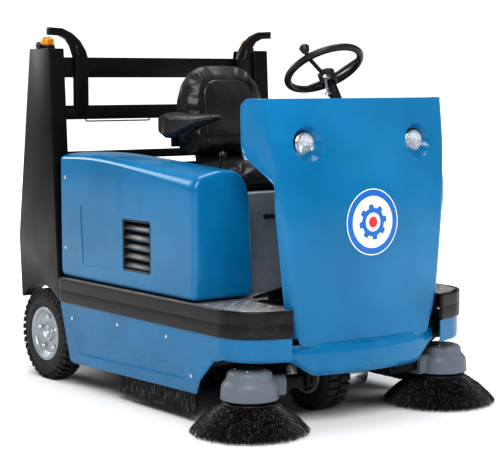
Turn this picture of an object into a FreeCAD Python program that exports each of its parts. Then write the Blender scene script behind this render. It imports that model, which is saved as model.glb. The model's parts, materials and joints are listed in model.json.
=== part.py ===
import math
import os
import re
import FreeCAD
import Part
import Sketcher

# Ride-on sweeper with two side brooms and a high-lift hopper.
# +Y points to the rear, +X to the operator's left, +Z up, the floor is Z = 0.

doc = FreeCAD.newDocument("sweeper")
sheet = doc.addObject("Spreadsheet::Sheet", "Sizes")

sizes = {
    # body outline, seen from above
    "stripHalf": 588, "stripRear": 528, "stripCorner": 174, "stripWall": 14,
    "stripLow": 363, "deckTop": 467, "deckPlate": 4, "noseHalf": 374, "noseFront": 838,
    "skirtInset": 8, "skirtWall": 4, "skirtRearLow": 107,
    # frame
    "railInner": 405, "railWidth": 50, "railLow": 283, "railFront": 780, "railRear": 850,
    "jackRear": 50, "jackLong": 90, "jackThick": 8,
    # front cowl
    "cowlTop": 1243, "cowlLow": 318, "cowlWall": 5, "lampHalf": 272, "lampHeight": 1075,
    "lampFront": 788, "lampBore": 84, "apronLow": 206, "apronFront": 862,
    # side housings
    "housingHalf": 575, "housingInner": 290, "housingFront": 483, "housingRear": 532,
    "housingLow": 475, "housingTop": 1008, "housingWall": 4, "housingCorner": 35,
    "louvreFront": 183, "louvreRear": 27, "louvreLow": 547, "louvreTop": 757, "louvreSlats": 5,
    # masts and cross bars
    "mastHalf": 585, "mastWide": 75, "mastTop": 1445, "mastWall": 6, "barFront": 600, "barDeep": 40,
    "upperBarLow": 1321, "upperBarHigh": 87, "middleBarLow": 1140, "middleBarHigh": 60,
    "lowerBarLow": 965, "lowerBarHigh": 35, "guideDeep": 26, "beaconWide": 66, "beaconRear": 690,
    # wheels
    "rearWheel": 400, "rearTread": 100, "rearOuter": 575, "rearAxle": 687, "rimWide": 232, "axleWide": 30,
    "frontWheel": 300, "frontTread": 125, "steerFront": 510, "forkGap": 9, "forkWall": 12, "steerShaft": 40,
    # side brooms and main brush
    "broomHalf": 483, "broomFront": 711, "broomWide": 458, "broomHub": 200, "broomTop": 124,
    "coverWide": 220, "coverTop": 250, "armPin": 210, "armHeight": 170, "armPinWide": 16,
    "brushWide": 300, "brushHalf": 365, "brushRear": 170, "brushHeight": 152,
    # hopper
    "binHalf": 385, "binFront": 560, "binRear": 940, "binLow": 140, "binTop": 900, "binWall": 3,
    "binStep": 470, "binBack": 662, "dumpRear": 880, "dumpHeight": 850, "dumpPin": 20,
    # seat
    "seatHalf": 222, "baseHalf": 270, "baseFront": 363, "baseRear": 250, "baseTop": 865,
    "seatTop": 978, "backTop": 1385, "seatFront": 310, "armrestInner": 238, "armrestWide": 58,
    # steering wheel and column
    "wheelWide": 328, "wheelGrip": 28, "wheelRear": -548, "wheelHeight": 1356, "wheelTilt": 33,
    "columnWide": 44,
    # running clearances
    "fit": 0.05, "gap": 1,
}


def fillSheet():
    for row, (name, value) in enumerate(sizes.items(), start=1):
        sheet.set("A%d" % row, name)
        sheet.set("B%d" % row, str(value))
        sheet.setAlias("B%d" % row, name)
    doc.recompute()


def size(name):
    return float(sheet.get(name))


def bind(thing, prop, formula):
    text = re.sub(r"[A-Za-z]+", lambda found: "Sizes." + found.group(0)
                  if found.group(0) in sizes else found.group(0), str(formula))
    thing.setExpression(prop, text)


def placeAt(thing, x, y, z):
    bind(thing, "Placement.Base.x", x)
    bind(thing, "Placement.Base.y", y)
    bind(thing, "Placement.Base.z", z)


# ---- small parametric building blocks -------------------------------------------------

def block(name, x, y, z, length, width, height):
    """Box from its low corner and its three sides."""
    thing = doc.addObject("Part::Box", name)
    bind(thing, "Length", length)
    bind(thing, "Width", width)
    bind(thing, "Height", height)
    placeAt(thing, x, y, z)
    return thing


def rod(name, axis, x, y, z, radius, height):
    """Cylinder along X, Y or Z that starts at the given point."""
    thing = doc.addObject("Part::Cylinder", name)
    turns = {"X": (FreeCAD.Vector(0, 1, 0), 90), "Y": (FreeCAD.Vector(1, 0, 0), -90),
             "Z": (FreeCAD.Vector(0, 0, 1), 0)}
    thing.Placement = FreeCAD.Placement(FreeCAD.Vector(), FreeCAD.Rotation(*turns[axis]))
    bind(thing, "Radius", radius)
    bind(thing, "Height", height)
    placeAt(thing, x, y, z)
    return thing


def fuse(name, things):
    thing = doc.addObject("Part::MultiFuse", name)
    thing.Shapes = things
    return thing


def cut(name, base, tool):
    thing = doc.addObject("Part::Cut", name)
    thing.Base = base
    thing.Tool = tool
    return thing


def mirrorOf(name, source):
    """The other side's copy of a piece, mirrored about the middle plane."""
    thing = doc.addObject("Part::Mirroring", name)
    thing.Source = source
    thing.Base = FreeCAD.Vector(0, 0, 0)
    thing.Normal = FreeCAD.Vector(1, 0, 0)
    return thing


def feature(name, shape):
    thing = doc.addObject("Part::Feature", name)
    thing.Shape = shape
    return thing


def plane(body, role):
    return [item for item in body.Origin.OriginFeatures if item.Role == role][0]


def outline(body, name, role, points, offset="0"):
    """Closed polygon sketch whose corners are bound to the sheet."""
    sketch = body.newObject("Sketcher::SketchObject", name)
    sketch.AttachmentSupport = (plane(body, role), [""])
    sketch.MapMode = "FlatFace"
    bind(sketch, "AttachmentOffset.Base.z", offset)
    spots = [FreeCAD.Vector(10 * math.cos(k), 10 * math.sin(k), 0)
             for k in (2 * math.pi * i / len(points) for i in range(len(points)))]
    for i in range(len(points)):
        sketch.addGeometry(Part.LineSegment(spots[i], spots[(i + 1) % len(points)]), False)
    for i in range(len(points)):
        sketch.addConstraint(Sketcher.Constraint("Coincident", i, 2, (i + 1) % len(points), 1))
    for i, (x, y) in enumerate(points):
        for axis, spot, formula in (("DistanceX", spots[i].x, x), ("DistanceY", spots[i].y, y)):
            where = sketch.addConstraint(Sketcher.Constraint(axis, -1, 1, i, 1, spot))
            bind(sketch, "Constraints[%d]" % where, formula)
    return sketch


def newBody(name):
    return doc.addObject("PartDesign::Body", name)


def pad(body, sketch, length, reverse=False):
    thing = body.newObject("PartDesign::Pad", sketch.Name + "Pad")
    thing.Profile = sketch
    thing.Reversed = reverse
    bind(thing, "Length", length)
    return thing


def pocket(body, sketch, length, reverse=False):
    thing = body.newObject("PartDesign::Pocket", sketch.Name + "Pocket")
    thing.Profile = sketch
    thing.Reversed = reverse
    bind(thing, "Length", length)
    return thing


def turned(name, points):
    """Body turned about its own Z axis from (radius, height) corners."""
    body = newBody(name)
    sketch = outline(body, name + "Profile", "XZ_Plane", points)
    spin = body.newObject("PartDesign::Revolution", name + "Turn")
    spin.Profile = sketch
    spin.ReferenceAxis = (sketch, ["V_Axis"])
    spin.Angle = 360
    return body


fillSheet()


# ---- outlines shared by the strip, the skirts and the deck ----------------------------

def sidePoint(inset, tangent):
    """Corner arc of the right side, moved inwards: its ends and its middle."""
    half = size("stripHalf") - inset
    radius = size("stripCorner") - inset
    slope = math.radians(17)
    noseX, noseY = -size("noseHalf"), -size("noseFront")
    noseY += inset / math.cos(slope)
    cornerY = noseY + (half + noseX) * math.tan(slope)
    reach = radius * math.tan((math.pi / 2 - slope) / 2)
    centre = FreeCAD.Vector(-half + radius, cornerY + reach, 0)
    turn = {"side": math.pi, "front": 1.5 * math.pi - slope,
            "middle": 1.25 * math.pi - slope / 2}[tangent]
    return centre + FreeCAD.Vector(math.cos(turn), math.sin(turn), 0) * radius


def sideBand(inset, wall, low, high, rear):
    """Upright band of even wall that follows the right side and the front corner."""
    slope = math.radians(17)
    noseX = -size("noseHalf")
    edges = []
    ends = []
    for depth in (inset, inset + wall):
        nose = FreeCAD.Vector(noseX, -size("noseFront") + depth / math.cos(slope), 0)
        back = FreeCAD.Vector(depth - size("stripHalf"), rear, 0)
        start, middle, stop = (sidePoint(depth, spot) for spot in ("side", "middle", "front"))
        edges += [Part.LineSegment(back, start), Part.Arc(start, middle, stop), Part.LineSegment(stop, nose)]
        ends.append((back, nose))
    edges += [Part.LineSegment(ends[0][0], ends[1][0]), Part.LineSegment(ends[0][1], ends[1][1])]
    wire = Part.Wire(Part.__sortEdges__([edge.toShape() for edge in edges]))
    band = Part.Face(wire).extrude(FreeCAD.Vector(0, 0, high - low))
    band.translate(FreeCAD.Vector(0, 0, low))
    return band


def prism(points, axis, start, length):
    """Solid pushed along an axis from an outline given in the other two axes, in order."""
    turn = {"X": lambda a, b: FreeCAD.Vector(start, a, b), "Y": lambda a, b: FreeCAD.Vector(a, start, b),
            "Z": lambda a, b: FreeCAD.Vector(a, b, start)}[axis]
    push = {"X": FreeCAD.Vector(length, 0, 0), "Y": FreeCAD.Vector(0, length, 0),
            "Z": FreeCAD.Vector(0, 0, length)}[axis]
    spots = [turn(a, b) for a, b in points]
    return Part.Face(Part.makePolygon(spots + spots[:1])).extrude(push)


def tube(radius, length, start, along):
    return Part.makeCylinder(radius, length, FreeCAD.Vector(*start), FreeCAD.Vector(*along))


# ---- chassis ---------------------------------------------------------------------------

def chassisFrame():
    """Two side rails with jacking pads, cross members, the steering plate and outriggers to the strip."""
    parts = []
    for side in ("-railInner - railWidth", "railInner"):
        parts.append(block("rail", side, "-railFront", "railLow", "railWidth", "railFront + railRear",
                           "stripLow - railLow"))
        for y in (-600, -150, 300):
            outside = "-stripHalf + stripWall + gap" if side[0] == "-" else "railInner + railWidth"
            parts.append(block("outrigger", outside, y, "stripLow", "stripHalf - stripWall - gap - railInner"
                               " - railWidth", 40, "deckTop - deckPlate - stripLow"))
            inside = "-railInner - railWidth" if side[0] == "-" else "railInner"
            parts.append(block("riser", inside, y, "stripLow", "railWidth", 40,
                               "deckTop - deckPlate - stripLow"))
        parts.append(block("jackPad", inside, "jackRear - jackLong / 2", "railLow - jackThick", "railWidth",
                           "jackLong", "jackThick"))
    for y, low, high in (("-railFront", "railLow", "stripLow - railLow"),
                         ("-260", "railLow", "stripLow - railLow"), ("300", "stripLow", 60)):
        parts.append(block("crossMember", "-railInner - 20", y, low, "railInner * 2 + 40", 50, high))
    plate = block("steeringPlate", -90, "-railFront", "stripLow - 12", 180, "railFront - 210", 12)
    frame = fuse("frameWelded", parts + [plate])
    bore = rod("steeringBore", "Z", 0, "-steerFront", 200, "steerShaft / 2 + fit", 250)
    return cut("chassis_frame", frame, bore)


def floorDeck():
    """Tread plate from the nose to the masts, open behind for the hopper."""
    inset = size("stripWall") + size("gap")
    points = []
    for side in (1, -1):
        half = [(size("binHalf") + 18, 392), (size("binHalf") + 18, size("stripRear")),
                (size("stripHalf") - inset, size("stripRear"))]
        for spot in ("side", "middle", "front"):
            corner = sidePoint(inset, spot)
            half.append((-corner.x, corner.y))
        half += [(size("noseHalf") + 4, corner.y - 20), (size("noseHalf") + 4, 54 - size("noseFront"))]
        points += [(side * x, y) for x, y in half[::side]]
    plate = prism(points, "Z", size("deckTop") - size("deckPlate"), size("deckPlate"))
    bore = tube(size("steerShaft") / 2 + 3, 60, (0, -size("steerFront"), 440), (0, 0, 1))
    return feature("floor_deck", plate.cut(bore))


def bumper():
    """Guard strip round one side, cut clear of the rear wheel."""
    band = sideBand(0, size("stripWall"), size("stripLow"), size("deckTop"), size("stripRear"))
    wheel = tube(size("rearWheel") / 2 + 8, 200, (-size("stripHalf"), size("rearAxle"), size("rearWheel") / 2),
                 (1, 0, 0))
    return feature("right_bumper", band.cut(wheel))


def skirt():
    """Lower side panel with a wheel-arch rear edge, a raised front arch and a pressed panel."""
    top = size("stripLow") - size("gap")
    inset = size("skirtInset")
    low = size("skirtRearLow")
    band = sideBand(inset, size("skirtWall"), 90, top, size("stripRear"))
    edge = prism([(531, top), (531, 356), (450, low), (-500, low + 17), (-527, low + 76), (-613, 265),
                  (-671, 279), (-900, 270), (-900, top)], "X", -size("stripHalf") - 5, 230)
    pressing = prism([(393, 256), (349, 153), (-426, 171), (-440, 208)], "X",
                     inset - size("stripHalf") - 1, 3)
    return feature("right_skirt", band.common(edge).cut(pressing))


def cowlSection(z, creaseX, creaseY, frontY, wingX, wingY, inset):
    """Closed plan outline of the cowl at one height."""
    at = lambda x, y: FreeCAD.Vector(x, y, z)
    creaseX -= inset
    wingX -= inset
    creaseY += inset
    frontY += inset
    if inset:
        wingY += 200
    bow = Part.Arc(at(-creaseX, creaseY), at(0, frontY), at(creaseX, creaseY))
    lines = [Part.LineSegment(at(creaseX, creaseY), at(wingX, wingY)),
             Part.LineSegment(at(wingX, wingY), at(-wingX, wingY)),
             Part.LineSegment(at(-wingX, wingY), at(-creaseX, creaseY))]
    return Part.Wire([edge.toShape() for edge in [bow] + lines])


def cowlSolid(inset):
    top = size("cowlTop")
    low = size("cowlLow")
    spill = 20 if inset else 0
    rows = [(low - spill, 330, -812, -832, 340, -792), (467, 359, -816, -842, 372, -790),
            (728, 387, -813, -847, 402, -785), (900, 404, -800, -842, 430, -775),
            (1003, 420, -787, -825, 452, -700), (1090, 431, -772, -802, 465, -650),
            (top + spill, 437, -748, -775, 470, -645)]
    wires = [cowlSection(z, cx, cy, fy, wx, wy, inset) for z, cx, cy, fy, wx, wy in rows]
    return Part.makeLoft(wires, True, False)


def frontCowl():
    """Bowed shell with side wings, knee cut-outs and two conical lamp pockets."""
    wall = size("cowlWall")
    outer = cowlSolid(0)
    inner = cowlSolid(wall)
    lampY = -size("lampFront") - 40
    for side in (-1, 1):
        spot = FreeCAD.Vector(side * size("lampHalf"), lampY, size("lampHeight"))
        back = FreeCAD.Vector(0, 1, 0)
        bore = size("lampBore") / 2
        outer = outer.cut(Part.makeCone(bore + 48, bore, 68, spot, back))
        inner = inner.cut(Part.makeCone(bore + 48 + wall, bore + wall, 68 + wall, spot, back))
        outer = outer.cut(tube(bore, 60, (spot.x, spot.y, spot.z), (0, 1, 0)))
    shell = outer.cut(inner)
    top = size("cowlTop")
    knee = prism([(-500, 1045), (-652, 1045), (-748, 962), (-790, 930), (-792, 200), (-500, 200)],
                 "X", -600, 1200)
    rounding = prism([(-500, top + 1), (-672, top + 1), (-652, top - 8), (-644, top - 28), (-500, top - 28)],
                     "X", -600, 1200)
    solid = shell.cut(knee).cut(rounding)
    for side in (-1, 1):
        solid = solid.cut(tube(size("lampBore") / 2, 60, (side * size("lampHalf"), lampY + 40,
                                                           size("lampHeight")), (0, 1, 0)))
    return feature("front_cowl", max(solid.Solids, key=lambda item: item.Volume))


def frontApron():
    """Lip below the cowl, bowed in plan, with slanted ends."""
    front = size("apronFront")
    at = FreeCAD.Vector
    bands = []
    for inset in (0, size("cowlWall")):
        bow = Part.Arc(at(-400, inset - 776, 0), at(0, inset - front, 0), at(400, inset - 776, 0))
        back = [Part.LineSegment(at(400, inset - 776, 0), at(400, -600, 0)),
                Part.LineSegment(at(400, -600, 0), at(-400, -600, 0)),
                Part.LineSegment(at(-400, -600, 0), at(-400, inset - 776, 0))]
        wire = Part.Wire([edge.toShape() for edge in [bow] + back])
        bands.append(Part.Face(wire).extrude(at(0, 0, 400)))
    low = size("apronLow")
    face = prism([(-372, size("cowlLow") - size("gap")), (-372, 268), (-350, 258), (-258, low + 2), (-230, low),
                  (230, low), (258, low + 2), (350, 258), (372, 268), (372, size("cowlLow") - size("gap"))],
                 "Y", -1000, 400)
    band = bands[0].cut(bands[1]).common(face)
    return feature("front_apron", max(band.Solids, key=lambda item: item.Volume))


def headlights():
    """Two sealed lamps with a bezel ring, set in the cowl's pockets."""
    lamps = []
    for side in (-1, 1):
        x = side * size("lampHalf")
        radius = size("lampBore") / 2 - size("gap")
        lamps.append(tube(radius, 50, (x, -size("lampFront") + 12, size("lampHeight")), (0, 1, 0)))
    return feature("headlights", Part.makeCompound(lamps))


def dashPanel():
    """Flat top under the cowl's rim, with a slot for the steering column."""
    high = size("cowlTop") - 26
    points = [(-424, -640), (-414, -738), (0, -756), (414, -738), (424, -640)]
    plate = prism(points, "Z", high, 6)
    slot = prism([(-46, -706), (46, -706), (46, -620), (-46, -620)], "Z", high - 5, 20)
    return feature("dash_panel", plate.cut(slot))


# ---- side housings -----------------------------------------------------------------------

def housingSolid(inset):
    """Housing from section outlines along its length, inside a plan with a rounded corner."""
    outer = -size("housingHalf") + inset
    inner = -size("housingInner") - inset
    low = size("housingLow") - (20 if inset else 0)
    top = size("housingTop") - inset
    front = -size("housingFront")
    rear = size("housingRear")
    sections = []
    for y, drop, shoulder in ((front - 20, 41, 102), (0, 12, 40), (280, 0, 20), (rear + 20, 5, 25)):
        ridge = top - drop
        crease = top - shoulder
        rise = ridge - crease
        corners = [(outer, low), (outer, crease), (outer + 28, crease + 0.62 * rise), (outer + 120, ridge),
                   (inner - 78, ridge - 3), (inner - 40, ridge - 42), (inner - 16, ridge - 110), (inner, low)]
        spots = [FreeCAD.Vector(x, y, z) for x, z in corners]
        sections.append(Part.makePolygon(spots + spots[:1]))
    body = Part.makeLoft(sections, True, True)
    corner = size("housingCorner")
    plan = Part.makeBox(inner - outer, rear - front - 2 * inset, 900,
                        FreeCAD.Vector(outer, front + inset, 300))
    upright = [edge for edge in plan.Edges if abs(edge.Length - 900) < 1
               and edge.BoundBox.XMax < outer + 1 and edge.BoundBox.YMax < front + inset + 1]
    plan = plan.makeFillet(corner - inset, upright)
    return body.common(plan)


def housing():
    """Moulded side cover with a louvre opening, a pressed panel and a cut lower rear corner."""
    wall = size("housingWall")
    shell = housingSolid(0).cut(housingSolid(wall))
    outer = -size("housingHalf")
    opening = prism([(-size("louvreFront"), size("louvreLow")), (size("louvreRear"), size("louvreLow")),
                     (size("louvreRear"), size("louvreTop")), (-size("louvreFront"), size("louvreTop"))],
                    "X", outer - 10, 30)
    pressing = prism([(361, 784), (342, 537), (63, 543), (67, 767)], "X", outer - 8, 10)
    rear = size("housingRear")
    heel = prism([(rear + 5, 300), (rear + 5, 540), (rear - 60, 300)], "X", -700, 500)
    slot = Part.makeBox(32, 90, 120, FreeCAD.Vector(-350, -335, 880))
    return feature("right_housing", shell.cut(opening).cut(pressing).cut(heel).cut(slot))


def louvre():
    """Black grille: a frame and its tilted slats."""
    x = 1 - size("housingHalf")
    low, high = size("louvreLow") + 1, size("louvreTop") - 1
    front, rear = 1 - size("louvreFront"), size("louvreRear") - 1
    frame = Part.makeBox(22, rear - front, high - low, FreeCAD.Vector(x, front, low))
    frame = frame.cut(Part.makeBox(40, rear - front - 16, high - low - 16,
                                   FreeCAD.Vector(x - 5, front + 8, low + 8)))
    count = int(size("louvreSlats"))
    pitch = (high - low - 16) / count
    for i in range(count):
        z = low + 8 + i * pitch
        slat = prism([(x + 1, z + 5), (x + 1, z + 9), (x + 20, z + pitch - 5), (x + 20, z + pitch - 9)],
                     "Y", front + 4, rear - front - 8)
        frame = frame.fuse(slat)
    return feature("right_louvre", frame)


# ---- masts, bars and lights ------------------------------------------------------------

def mast():
    """Upright channel, open inwards, arched over the rear tyre."""
    body = newBody("mastBody")
    low = 350
    profile = [("532", low), ("536", "500"), ("571", "1000"), ("594", "mastTop"), ("763", "mastTop"),
               ("881", "620"), ("862", low)]
    pad(body, outline(body, "mastSide", "YZ_Plane", profile, "-mastHalf"), "mastWide")
    inside = [("532 + mastWall", "low"), ("536 + mastWall", "500"), ("571 + mastWall", "1000"),
              ("594 + mastWall", "mastTop - mastWall"), ("763 - mastWall", "mastTop - mastWall"),
              ("881 - mastWall", "620"), ("862 - mastWall", "low")]
    inside = [(y, z.replace("low", "430")) for y, z in inside]
    pocket(body, outline(body, "mastChannel", "YZ_Plane", inside, "-mastHalf + mastWall"),
           "mastWide", True)
    arch = rod("mastArch", "X", "-mastHalf - 5", "rearAxle", "rearWheel / 2", "rearWheel / 2 + 22", "mastWide + 10")
    return cut("right_mast", body, arch)


def crossBars():
    bars = [block(name, "-mastHalf + mastWide", "barFront", low, "2 * (mastHalf - mastWide)", "barDeep", high)
            for name, low, high in (("upperBar", "upperBarLow", "upperBarHigh"),
                                    ("middleBar", "middleBarLow", "middleBarHigh"),
                                    ("lowerBar", "lowerBarLow", "lowerBarHigh"))]
    group = doc.addObject("Part::Compound", "cross_bars")
    group.Links = bars
    return group


def hoseGuides():
    """Bent flat box that leads the hoses over each mast's shoulder, with a long slot."""
    front = size("barFront") - size("guideDeep") - 0.5
    bend = size("mastTop") - 45
    outer = [(-401, 1142), (-401, bend), (-412, bend + 36), (-440, bend + 78), (-480, bend + 111),
             (-528, bend + 131), (-592, bend + 134)]
    inner = [(-592, bend + 102), (-540, bend + 100), (-505, bend + 84), (-484, bend + 56), (-464, bend),
             (-464, 1142)]
    guide = prism(outer + inner, "Y", front, size("guideDeep"))
    slot = prism([(-446, bend + 5), (-434, bend + 5), (-448, bend + 50), (-462, bend + 58)], "Y", front - 5, 60)
    guide = guide.cut(slot)
    foot = Part.makeBox(90, 14, 34, FreeCAD.Vector(-509, front + size("guideDeep") - 14, 1152))
    guide = guide.fuse(foot)
    other = guide.mirror(FreeCAD.Vector(), FreeCAD.Vector(1, 0, 0))
    return feature("hose_guides", Part.makeCompound([guide, other]))


def beacons():
    bases = []
    lenses = []
    radius = size("beaconWide") / 2
    for side in (-1, 1):
        spot = (side * (size("mastHalf") - 48), size("beaconRear"), size("mastTop"))
        up = (0, 0, 1)
        bases.append(tube(radius, 16, spot, up))
        lenses.append(tube(radius - 3, 30, (spot[0], spot[1], spot[2] + 16), up))
    return (feature("beacon_bases", Part.makeCompound(bases)),
            feature("beacon_lenses", Part.makeCompound(lenses)))


def mastCable():
    """Thin cable along the middle bar's underside, between the guide's foot and a clip."""
    start, end, radius, bend, drop = -390, -60, 3, 8, 9
    z = size("middleBarLow") - drop
    y = size("barFront") + 20
    turn = bend * (1 - math.sqrt(0.5))
    line = Part.LineSegment
    at = FreeCAD.Vector
    edges = [line(at(start, y, z + drop), at(start, y, z + bend)),
             Part.Arc(at(start, y, z + bend), at(start + turn, y, z + turn), at(start + bend, y, z)),
             line(at(start + bend, y, z), at(end - bend, y, z)),
             Part.Arc(at(end - bend, y, z), at(end - turn, y, z + turn), at(end, y, z + bend)),
             line(at(end, y, z + bend), at(end, y, z + drop))]
    wire = Part.Wire([edge.toShape() for edge in edges])
    ring = Part.Wire([Part.Circle(at(start, y, z + drop), at(0, 0, -1), radius).toShape()])
    pipe = wire.makePipeShell([ring], True, True)
    return feature("mast_cable", pipe)


# ---- wheels -----------------------------------------------------------------------------

def onAxle(body, side, x, y, z):
    """Lay a turned piece on its side so that its base faces the outside."""
    body.Placement = FreeCAD.Placement(FreeCAD.Vector(), FreeCAD.Rotation(FreeCAD.Vector(0, 1, 0), -90 * side))
    placeAt(body, x, y, z)
    return body


def wheel(name, wide, tread, rim, axle, side, x, y):
    """Tyre with rounded shoulders on a dished rim; both are turned."""
    half = "(%s) / 2" % wide
    flange = "(%s) / 2" % rim
    tyre = turned(name + "_tyre", [
        (flange, "8"), (flange + " + 14", "2"), (half + " - 30", "0"), (half + " - 6", "6"), (half, "16"),
        (half, tread + " - 16"), (half + " - 6", tread + " - 6"), (half + " - 30", tread),
        (flange + " + 14", tread + " - 2"), (flange, tread + " - 8")])
    rimBody = turned(name + "_rim", [
        (axle, "6"), ("(%s) * 1.9" % axle, "6"), ("(%s) * 2" % axle, "22"), (flange + " * 0.62", "30"),
        (flange + " - 16", "22"), (flange + " - 12", "6"), (flange, "6"),
        (flange, tread + " - 6"), (flange + " - 12", tread + " - 6"), (flange + " - 16", tread + " - 30"),
        ("(%s) * 2" % axle, tread + " - 34"), (axle, tread + " - 20")])
    return [onAxle(piece, side, x, y, "(%s) / 2" % wide) for piece in (tyre, rimBody)]


def rearAxles():
    """Solids of the stub axle and hanger plate under each rail."""
    parts = []
    for side in (-1, 1):
        inner = size("railInner") + size("railWidth") - 10
        x = side * inner if side > 0 else -inner - 10
        high = size("railLow")
        plate = Part.makeBox(10, 90, high - 150, FreeCAD.Vector(x, size("rearAxle") - 45, 150))
        length = size("rearOuter") - 12 - inner
        shaft = tube(size("axleWide") / 2, length, (side * inner, size("rearAxle"), size("rearWheel") / 2),
                     (side, 0, 0))
        parts.append(plate.fuse(shaft))
    return parts


def steeringFork():
    """Fork with its steering shaft and a through axle."""
    half = size("frontTread") / 2 + size("forkGap")
    wall = size("forkWall")
    y = -size("steerFront")
    top = size("stripLow") - 12 - size("gap") - 14
    plate = Part.makeBox(2 * (half + wall), 110, 14, FreeCAD.Vector(-half - wall, y - 55, top))
    fork = plate
    for x in (-half - wall, half):
        fork = fork.fuse(Part.makeBox(wall, 76, top - 105, FreeCAD.Vector(x, y - 38, 105)))
    shaft = tube(size("steerShaft") / 2, size("deckTop") - top - 6, (0, y, top), (0, 0, 1))
    axle = tube(11, 2 * half + 2 * wall, (-half - wall, y, size("frontWheel") / 2), (1, 0, 0))
    return feature("front_fork", fork.fuse(shaft).fuse(axle))


def driveMotor():
    start = size("frontTread") / 2 + size("forkGap") + size("forkWall")
    y = -size("steerFront") - 35
    motor = tube(54, 112, (start, y, 132), (1, 0, 0))
    gear = tube(50, 34, (-start - 34, y + 35, 150), (1, 0, 0))
    return feature("drive_motor", Part.makeCompound([motor, gear]))


# ---- side brooms and main brush ----------------------------------------------------------

def broomArm():
    """Plated arm that swings up about a pin along Y."""
    y = -size("broomFront") - 22
    z = size("armHeight")
    pin = -size("armPin")
    arm = prism([(pin + 22, z - 20), (pin + 22, z + 20), (pin - 30, z + 24), (-size("broomHalf") + 60, z + 24),
                 (-size("broomHalf") + 60, z - 16), (pin - 60, z - 22)], "Y", y, 44)
    hole = tube(size("armPinWide") / 2 + size("fit"), 80, (pin, y - 10, z), (0, 1, 0))
    return feature("right_broom_arm", arm.cut(hole))


def frameBrackets():
    """Drop plates and pins for the broom arms, with the rear stub axles."""
    parts = []
    for side in (-1, 1):
        pin = side * size("armPin")
        y = -size("broomFront") - 22
        z = size("armHeight")
        low = z - 20
        for at in (y - 10, y + 46):
            parts.append(Part.makeBox(48, 8, size("railLow") - low, FreeCAD.Vector(pin - 24, at, low)))
        pinRod = tube(size("armPinWide") / 2, 84, (pin, y - 18, z), (0, 1, 0))
        bridge = Part.makeBox(48, 64, 8, FreeCAD.Vector(pin - 24, y - 10, size("railLow") - 8))
        parts[-2:] = [parts[-2].fuse(parts[-1]).fuse(pinRod).fuse(bridge)]
    return feature("frame_brackets", Part.makeCompound(parts + rearAxles()))


def broomCover():
    """Grey motor cover with a rounded top and a snout over the arm."""
    dome = turned("coverDome", [("24", "0"), ("coverWide / 2 - 3", "0"), ("coverWide / 2", "6"),
                                ("coverWide / 2 - 4", "44"), ("coverWide / 2 - 12", "70"),
                                ("coverWide / 2 - 26", "96"), ("coverWide / 2 - 46", "coverTop - broomTop - 12"),
                                ("20", "coverTop - broomTop - 6"), ("0", "coverTop - broomTop - 6"), ("0", "40"),
                                ("24", "40")])
    placeAt(dome, "-broomHalf", "-broomFront", "broomTop + 6")
    snout = block("coverSnout", "-broomHalf + 40", "-broomFront - 34", "armHeight + 24 + gap", 104, 68, 34)
    whole = fuse("coverWhole", [dome, snout])
    arm = block("coverArmRoom", "-broomHalf + 59.5", "-broomFront - 22.5", "armHeight - 60", 200, 45, "84 + 0.5")
    return cut("right_broom_cover", whole, arm)


def sideBroom():
    """Drive plate and the flared ring of bristles as one turned block."""
    broom = turned("right_side_broom", [
        ("0", "broomTop - 26"), ("broomHub / 2 - 44", "broomTop - 26"), ("broomWide / 2 - 74", "2"),
        ("broomWide / 2", "2"), ("broomWide / 2 - 40", "48"), ("broomHub / 2 + 12", "broomTop - 14"),
        ("broomHub / 2", "broomTop"), ("12", "broomTop"), ("12", "broomTop + 36"), ("0", "broomTop + 36")])
    placeAt(broom, "-broomHalf", "-broomFront", 0)
    return broom


def mainBrush():
    """Bristle roller with its shaft ends."""
    half = "brushHalf"
    roller = turned("main_brush", [
        ("0", "-" + half + " - 8"), ("12", "-" + half + " - 8"), ("12", "-" + half), ("brushWide / 2", "-" + half),
        ("brushWide / 2", half), ("12", half), ("12", half + " + 8"), ("0", half + " + 8")])
    return onAxle(roller, 1, 0, "brushRear", "brushHeight")


def brushArms():
    """Lift arms at both brush ends, joined by a tube on the pivot line."""
    parts = []
    y, z = size("brushRear"), size("brushHeight")
    pivotY, pivotZ = y - 130, z + 168
    for side in (-1, 1):
        x = side * (size("brushHalf") + 5) - 4
        arm = prism([(pivotY - 16, pivotZ - 14), (pivotY + 16, pivotZ + 12), (y + 22, z + 20), (y + 22, z - 20),
                     (y - 22, z - 20)], "X", x, 8)
        bore = tube(12.05, 60, (x - 20, y, z), (1, 0, 0))
        parts.append(arm.cut(bore))
    joiner = tube(10, 2 * size("brushHalf"), (-size("brushHalf"), pivotY, pivotZ), (1, 0, 0))
    return feature("brush_arms", parts[0].fuse(parts[1]).fuse(joiner))


def brushTunnel():
    """Hood over the main brush with a ramp to the hopper's mouth."""
    half = size("brushHalf") + 24
    front, rear = -26, size("binFront") - 5
    top = 352
    low = 60
    box = Part.makeBox
    at = FreeCAD.Vector
    hood = box(2 * half, 4, top - low, at(-half, front, low))
    hood = hood.fuse(box(2 * half, 320, 4, at(-half, front, top - 4)))
    for x in (-half, half - 4):
        hood = hood.fuse(box(4, rear - front, 275 - low, at(x, front, low)))
        hood = hood.fuse(box(4, 320, top - 270, at(x, front, 270)))
    ramp = prism([(345, 48), (345, 52), (rear, 150), (rear, 146)], "X", -half, 2 * half)
    duct = prism([(290, top), (294, top - 4), (rear, 346), (rear, 350)], "X", -half, 2 * half)
    walls = box(4, 262, 80, at(-half, 290, 270)).fuse(box(4, 262, 80, at(half - 4, 290, 270)))
    return feature("brush_tunnel", hood.fuse(ramp).fuse(duct).fuse(walls).removeSplitter())


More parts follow.
